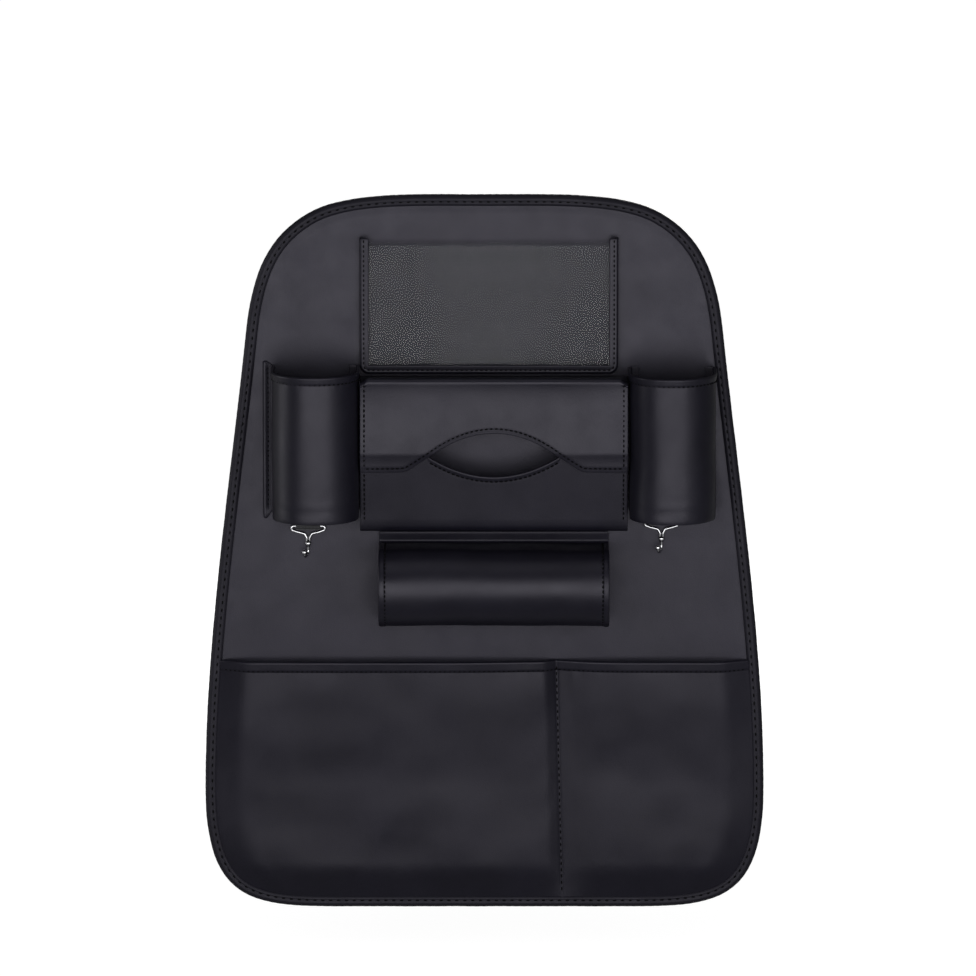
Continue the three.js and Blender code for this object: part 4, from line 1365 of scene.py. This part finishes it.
class ORGANIZER_OT_lower_pockets(bpy.types.Operator):
    """Sew the lower sheet that makes the two flat pockets"""

    bl_idname = "organizer.lower_pockets"
    bl_label = "Lower pockets"

    def execute(self, context):
        low, high = boxes["lower_pocket_sheet"]
        foot, top = low.z - FOOT, high.z - FOOT
        loop = inset_loop(outline_loop(OUTLINE_STEPS), BINDING_WIDTH - 0.0002)
        right_side = [p for p in loop[:len(loop) // 2 + 1] if p.y < top + 0.02]

        def reach_at(height):
            for upper, lower in zip(right_side, right_side[1:]):
                if lower.y <= height <= upper.y:
                    return mix(lower.x, upper.x, (height - lower.y) / max(upper.y - lower.y, 1e-9))
            return right_side[-1].x

        def across(height, reach):
            """Places across the sheet: as many in every row, and close together at the seam"""
            divider = divider_at(height, top)
            near = 0.016
            left = [mix(-reach, divider - near, k / 67) for k in range(67)]
            seam = [divider + mix(-near, near, k / 26) for k in range(27)]
            return left + seam + [mix(divider + near, reach, k / 44) for k in range(1, 45)]

        def pair_at(row, k):
            height, reach, columns = row
            below = top - height
            hem = hem_rise(below, LOWER_HEM, 0.0009, 0.0009, 0.0009, 0.0003, 0.0007)
            x = columns[k]
            back = lower_depth(x, height, reach, foot, top)
            pinch = 0.0006 * hump(x - divider_at(height, top), 0.0011)
            pucker = 0.0003 * swelling(x, 0, 0.007, 95.0) * hump(below - LOWER_HEM, 0.005)
            rise = hem + pucker - pinch * (1 - 0.4 * ease(LOWER_HEM - below, 0.001))
            return at(x, back + LEATHER + rise, height), at(x, back, height)

        heights = [foot + 0.0262 * (k / 22) ** 2 for k in range(22)]
        heights += towards_rim(foot + 0.0262, top, 0.003, 0.016)
        reaches = [max(reach_at(z), 0.02) if z > foot + 1e-6 else reach_at(foot + 2e-4) for z in heights]
        rows = [(z, reach, across(z, reach)) for z, reach in zip(heights, reaches)]
        grids = paired_grids(rows, range(len(rows[0][2])), pair_at)
        lay("lower_pocket_leather", "lower_pocket_sheet", sheet_shell(*grids), (high.x - low.x, top - foot))
        self.sew_down(foot, top, reach_at(top - LOWER_HEM))
        return {"FINISHED"}

    def sew_down(self, foot, top, reach):
        divider = []
        for z in evenly(foot + 0.004, top - 0.003, 0.003):
            lift = 0.0012 * ease(z - top + LOWER_HEM + 0.001, 0.001)
            divider.append(at(divider_at(z, top), GAP + LEATHER - 0.0005 + lift, z))
        level = top - LOWER_HEM
        hem = [at(x, lower_depth(x, level, reach, foot, top) + LEATHER + 0.0003, level)
               for x in evenly(0.003 - reach, reach - 0.003, 0.003)]
        sew("lower_pocket_thread", [face_stitches(divider, DIVIDER_PITCH), face_stitches(hem)])


# Accessory hooks
def web_shape(path, across, place, sense, thinned, selvage):
    """Points and faces of a webbing along a side line, a little thinner at its selvages"""
    outward = sides(path)

    def pair_at(k, side):
        thin = thinned * (1 - ease(min(side - across[0], across[-1] - side), selvage))
        half = WEB / 2 - thin
        return [place(path[k] + outward[k] * reach * sense, side) for reach in (half, -half)]

    return sheet_shell(*paired_grids(range(len(path)), across, pair_at), 0.8, 3)


class ORGANIZER_OT_hooks(bpy.types.Operator):
    """Bend the wire hooks and hang them in their webbing tabs"""

    bl_idname = "organizer.hooks"
    bl_label = "Hooks"

    def execute(self, context):
        joints = {joint["name"]: joint for joint in frame["joints"]}
        for side in ("left", "right"):
            pivot = Vector(joints[f"{side}_hook_swing"]["pos_m"])
            self.make_hook(side, pivot)
            self.make_tab(side, pivot)
        return {"FINISHED"}

    def make_hook(self, side, pivot):
        sides_round = bpy.context.scene.organizer_hardware.wire_sides
        reach = HOOK_LOOP_HALF
        arm = bent_path([
            (0, 0),
            (reach, 0, 0.0022),
            (reach - WIRE, -HOOK_EAR_DROP, 0.0018),
            (reach * 0.62, -0.0052, 0.004),
            (WIRE * 2.4, -0.0068, 0.002),
            (WIRE * 1.02, -HOOK_LOOP_DROP, 0.004),
            (WIRE * 0.9, -HOOK_LOOP_DROP - 0.0045),
        ], 0.0012)
        curl = bent_path([
            (0, -HOOK_LOOP_DROP - 0.0042),
            (0, -HOOK_STEM_DROP - HOOK_CURL, HOOK_CURL),
            (-HOOK_CURL * 2, -HOOK_STEM_DROP - HOOK_CURL, HOOK_CURL),
            (-HOOK_CURL * 2, -HOOK_STEM_DROP),
        ], 0.0008)
        forward = Vector((sin(HOOK_SWIVEL), cos(HOOK_SWIVEL), 0))
        stem = [forward * p.x + Vector((0, 0, p.y)) for p in curl]
        lines = [[Vector((sign * p.x, 0, p.y)) for p in arm] for sign in (1, -1)] + [stem]
        parts = [tube(line, WIRE_BENT, sides_round) for line in lines]
        collar = [Vector((0, 0, -HOOK_LOOP_DROP - z)) for z in (0.0032, 0.0038, 0.0054, 0.006)]
        parts.append(tube(collar, [WIRE * 1.6, WIRE * 2.1, WIRE * 2.1, WIRE * 1.6], sides_round * 2))
        ball = []
        end = forward * -HOOK_CURL * 2
        turns = [2 * pi * s / 20 for s in range(20)]
        for k in range(13):
            turn = pi * (k / 12 - 0.5)
            level = -HOOK_STEM_DROP + HOOK_BALL * sin(turn)
            width = max(HOOK_BALL * cos(turn), 1e-5)
            ball.append([end + Vector((width * cos(t), width * sin(t), level)) for t in turns])
        points, faces = joined([*parts, lofted(ball)])
        hung = Matrix.Translation(pivot) @ Matrix.Rotation(HOOK_LEAN, 4, "X")
        new_piece(f"{side}_wire_hook", [hung @ p for p in points], faces, chrome_material(), "chrome_wire",
                  f"{side}_hook", stands_for=[f"{side}_hook"])

    def make_tab(self, side, pivot):
        low, high = boxes[f"{side}_hook_tab"]
        eye = WIRE + RUNNING_GAP + WEB / 2
        depth, height = FRONT - pivot.y, pivot.z - FOOT
        back, front = GAP + WEB / 2, GAP * 2 + WEB * 1.5
        top = high.z - FOOT
        path = bent_path([
            (back, top),
            (back, height - eye, eye * 0.98),
            (depth + eye, height - eye, eye * 0.98),
            (depth + eye, height + eye * 0.6, WIRE / 2),
            (front, height + eye * 1.9, WIRE / 2),
            (front, top),
        ], 0.0009)
        shape = web_shape(path, evenly(low.x, high.x, 0.001), lambda p, x: at(x, p.x, p.y),
                          -1, 0.0002, 0.0015)
        lay(f"{side}_tab_webbing", f"{side}_hook_tab", shape, (high.x - low.x, lengths_along(path)[-1]),
            webbing_material("tab_webbing", upright=True), "webbing", "folded")
        line = [at(x, front + WEB / 2, height + eye * 2.6)
                for x in evenly(low.x + 0.002, high.x - 0.002, 0.002)]
        sew(f"{side}_tab_thread", [face_stitches(line, TAB_PITCH)], "webbing")


# Straps
def strap_path(centre_depth, out_corners, bar_end, inward):
    """Side line of one webbing half: out from its anchor, round the buckle's bar and back"""
    slot = WEB + RUNNING_GAP * 4
    turn = bar_end + inward * (BAR + slot / 2)
    tail = centre_depth + BAR_LAYER - WEB - GAP * 2
    return bent_path([
        *out_corners,
        (turn, centre_depth + BAR_LAYER, WEB * 0.6),
        (turn, centre_depth - BAR_LAYER, WEB * 0.6),
        (bar_end - inward * 0.002, centre_depth - BAR_LAYER, 0.002),
        (bar_end - inward * TAIL / 3, tail, 0.002),
        (bar_end - inward * TAIL, tail),
    ], 0.0022)


class ORGANIZER_OT_straps(bpy.types.Operator):
    """Run the webbing straps on the back through their buckles"""

    bl_idname = "organizer.straps"
    bl_label = "Straps"

    def execute(self, context):
        for name, slant, bend in (("upper", 0, WEB_BEND * 1.5), ("lower", LOWER_SLANT, WEB_BEND)):
            low, high = boxes[f"{name}_buckle_socket"]
            depth = (low.y + high.y) / 2
            anchor = boxes[f"{name}_strap_right"][1].x
            layer = GAP + WEB / 2
            reach = anchor - ANCHOR_LENGTH
            for side, sense, bar_end in (("left", -1, -SOCKET_LENGTH), ("right", 1, GAP + PLUG_LENGTH)):
                corners = [(sense * anchor, layer), (sense * reach, layer, WEB_BEND),
                           (sense * (reach - slant), depth + BAR_LAYER, bend)]
                self.make_half(name, side, strap_path(depth, corners, bar_end, -sense))
        return {"FINISHED"}

    def make_half(self, name, side, path):
        node_name = f"{name}_strap_{side}"
        low, high = boxes[node_name]
        shape = web_shape(path, evenly(low.z, high.z, 0.0018), lambda p, z: Vector((p.x, p.y, z)),
                          1, 0.00022, 0.0018)
        moving = side == "right"
        piece = new_piece(f"{name}_{side}_webbing", *shape, webbing_material(), "webbing",
                          None if moving else BODY, stands_for=[node_name])
        if moving:
            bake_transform(piece)
        lengths_along(path)[-1]
        self.sew_anchor(name, side, path[0], low.z, high.z)

    def sew_anchor(self, name, side, end, bottom, top):
        """A box of stitches with a cross in it"""
        sense = -1 if end.x > 0 else 1
        x0, x1 = end.x + sense * ANCHOR_SEAM, end.x + sense * ANCHOR_BOX
        z0, z1 = bottom + ANCHOR_SEAM, top - ANCHOR_SEAM
        face = end.y + WEB / 2
        corners = [(x0, z0), (x1, z0), (x1, z1), (x0, z1), (x0, z0), (x1, z1)]
        runs = []
        for (xa, za), (xb, zb) in [*zip(corners, corners[1:]), ((x1, z0), (x0, z1))]:
            line = [Vector((mix(xa, xb, k / 6), face, mix(za, zb, k / 6))) for k in range(7)]
            runs.append(face_stitches(line, ANCHOR_PITCH, sense=1))
        sew(f"{name}_{side}_anchor_thread", runs, "webbing")


# Buckles
class ORGANIZER_OT_buckles(bpy.types.Operator):
    """Mould the buckles with rounded edges and finger grips"""

    bl_idname = "organizer.buckles"
    bl_label = "Buckles"

    def execute(self, context):
        for name in ("upper", "lower"):
            socket = f"{name}_buckle_socket"
            first = boxes[socket][0].x + 0.0115
            self.mould(socket, BODY, grips=[first + k * 0.0022 for k in range(5)],
                       half_grip=0.009, grip_radius=0.0006)
            self.mould(f"{name}_buckle_plug", f"{name}_plug", grips=[0.0025 + k * 0.0017 for k in range(4)],
                       half_grip=0.0105, grip_radius=0.0005)
        return {"FINISHED"}

    def mould(self, node_name, body, grips, half_grip, grip_radius):
        shaping = bmesh.new()
        shaping.from_mesh(frame["nodes"][node_name].data)
        bmesh.ops.remove_doubles(shaping, verts=shaping.verts, dist=1e-6)
        bmesh.ops.dissolve_limit(shaping, angle_limit=radians(2), verts=shaping.verts, edges=shaping.edges)
        sharp = [e for e in shaping.edges if e.is_manifold and e.calc_face_angle(0) > radians(35)]
        bmesh.ops.bevel(shaping, geom=sharp, offset=0.0005, segments=3, profile=0.5, affect="EDGES",
                        clamp_overlap=True)
        bmesh.ops.triangulate(shaping, faces=[f for f in shaping.faces if len(f.verts) > 4])
        points = [v.co.copy() for v in shaping.verts]
        shaping.verts.index_update()
        faces = [tuple(v.index for v in f.verts) for f in shaping.faces]
        shaping.free()
        low, high = boxes[node_name]
        middle = (low.z + high.z) / 2
        levels = evenly(-half_grip, half_grip, 0.003)
        ribs = [tube([Vector((x, y, middle + z)) for z in levels], grip_radius, 8)
                for x in grips for y in (low.y + 0.0002, high.y - 0.0002)]
        points, faces = joined([(points, faces), *ribs])
        piece = new_piece(f"{node_name}_moulding", points, faces, plastic_material(), "buckle_plastic",
                          body, stands_for=[node_name])
        piece.data.set_sharp_from_angle(angle=radians(40))


# Stage
class ORGANIZER_OT_stage(bpy.types.Operator):
    """Set the floor, the lights and the camera"""

    bl_idname = "organizer.stage"
    bl_label = "Stage"

    def execute(self, context):
        stage = context.scene.organizer_stage
        self.make_floor(context)
        self.light_world(context, stage.ambient)
        aim = Vector((AIM_X, FRONT, FOOT + AIM_HEIGHT))
        for name, place, raised, size, power in (
            ("key_softbox", (0.03, -1.6, 0.06), 0.14, (2.7, 1.2), stage.key),
            ("left_softbox", (-2.3, 0.1, 0.3), 0, (1.1, 1.4), stage.fill_left),
            ("right_softbox", (2.0, -1.45, 0.35), 0, (1.0, 1.4), stage.fill_right),
            ("top_softbox", (0.0, -0.7, 1.9), 0, (1.2, 1.2), stage.top),
            ("rear_softbox", (0.0, 1.8, 0.7), 0, (0.8, 0.9), stage.rear),
        ):
            lamp = bpy.data.lights.new(name, "AREA")
            lamp.shape = "RECTANGLE"
            lamp.size, lamp.size_y = size
            lamp.energy = power
            spot = Vector(place)
            holder = self.place(context, name, lamp, spot, aim + Vector((0, 0, raised)) - spot)
            holder.visible_camera = False
        camera = bpy.data.cameras.new("camera")
        camera.sensor_width = 36
        camera.lens = camera.sensor_width * stage.distance / stage.frame_width
        camera.clip_end = 60
        back = Vector((0, -cos(stage.elevation), sin(stage.elevation)))
        context.scene.camera = self.place(context, "camera", camera, aim + back * stage.distance, -back)
        context.scene.view_settings.view_transform = "Standard"
        return {"FINISHED"}

    def place(self, context, name, made, spot, way):
        """Put a light or a camera on its spot, turned the way it shines or looks"""
        holder = bpy.data.objects.new(name, made)
        holder.location = spot
        holder.rotation_euler = way.to_track_quat("-Z", "Y").to_euler()
        context.scene.collection.objects.link(holder)
        return holder

    def make_floor(self, context):
        """A round pale floor, white all over but for the soft shadow on it"""
        level = FOOT - FLOOR_DROP
        turns = [pi * k / 32 for k in range(64)]
        rings = [[Vector((r * cos(t), r * sin(t), level)) for t in turns] for r in FLOOR_RINGS]
        points, faces = lofted(rings, capped=False)
        mesh = bpy.data.meshes.new("floor")
        mesh.from_pydata([tuple(p) for p in points], [], faces)
        mesh.materials.append(floor_material())
        floor = bpy.data.objects.new("floor", mesh)
        context.scene.collection.objects.link(floor)

    def light_world(self, context, ambient):
        world = bpy.data.worlds.new("studio")
        world.use_nodes = True
        tree = world.node_tree
        strength = maths(tree, "ADD", maths(tree, "MULTIPLY", seen_or_mirrored(tree), 1 - ambient), ambient)
        wire(tree, tree.nodes["Background"], Color=(1, 1, 1, 1), Strength=strength)
        context.scene.world = world


class ORGANIZER_PT_sidebar(bpy.types.Panel):
    """Sizes, finishes and steps of the organizer"""

    bl_idname = "ORGANIZER_PT_sidebar"
    bl_label = "Hanging organizer"
    bl_space_type = "VIEW_3D"
    bl_region_type = "UI"
    bl_category = "Organizer"

    def draw(self, context):
        for name in GROUPS:
            group = getattr(context.scene, name)
            box = self.layout.box()
            box.label(text=group.bl_rna.description)
            for key in group.__annotations__:
                box.prop(group, key)
        for operator in OPERATORS:
            self.layout.operator(operator.bl_idname)


GROUPS = {
    "organizer_leather": LeatherFinish,
    "organizer_sewing": SewingFinish,
    "organizer_hardware": HardwareFinish,
    "organizer_stage": StageFinish,
}
OPERATORS = (
    ORGANIZER_OT_stage,
    ORGANIZER_OT_panel,
    ORGANIZER_OT_binding,
    ORGANIZER_OT_screen_pocket,
    ORGANIZER_OT_drink_pockets,
    ORGANIZER_OT_box_pocket,
    ORGANIZER_OT_sleeve,
    ORGANIZER_OT_lower_pockets,
    ORGANIZER_OT_hooks,
    ORGANIZER_OT_straps,
    ORGANIZER_OT_buckles,
)


def register():
    for group in GROUPS.values():
        bpy.utils.register_class(group)
    for operator in OPERATORS:
        bpy.utils.register_class(operator)
    bpy.utils.register_class(ORGANIZER_PT_sidebar)
    for name, group in GROUPS.items():
        setattr(bpy.types.Scene, name, PointerProperty(type=group))


def unregister():
    for name in GROUPS:
        delattr(bpy.types.Scene, name)
    bpy.utils.unregister_class(ORGANIZER_PT_sidebar)
    for made in (*reversed(OPERATORS), *reversed(GROUPS.values())):
        bpy.utils.unregister_class(made)


def main():
    register()
    bpy.ops.organizer.stage()
    bpy.ops.organizer.panel()
    bpy.ops.organizer.binding()
    bpy.ops.organizer.screen_pocket()
    bpy.ops.organizer.drink_pockets()
    bpy.ops.organizer.box_pocket()
    bpy.ops.organizer.sleeve()
    bpy.ops.organizer.lower_pockets()
    bpy.ops.organizer.hooks()
    bpy.ops.organizer.straps()
    bpy.ops.organizer.buckles()


if __name__ == "__main__":
    main()
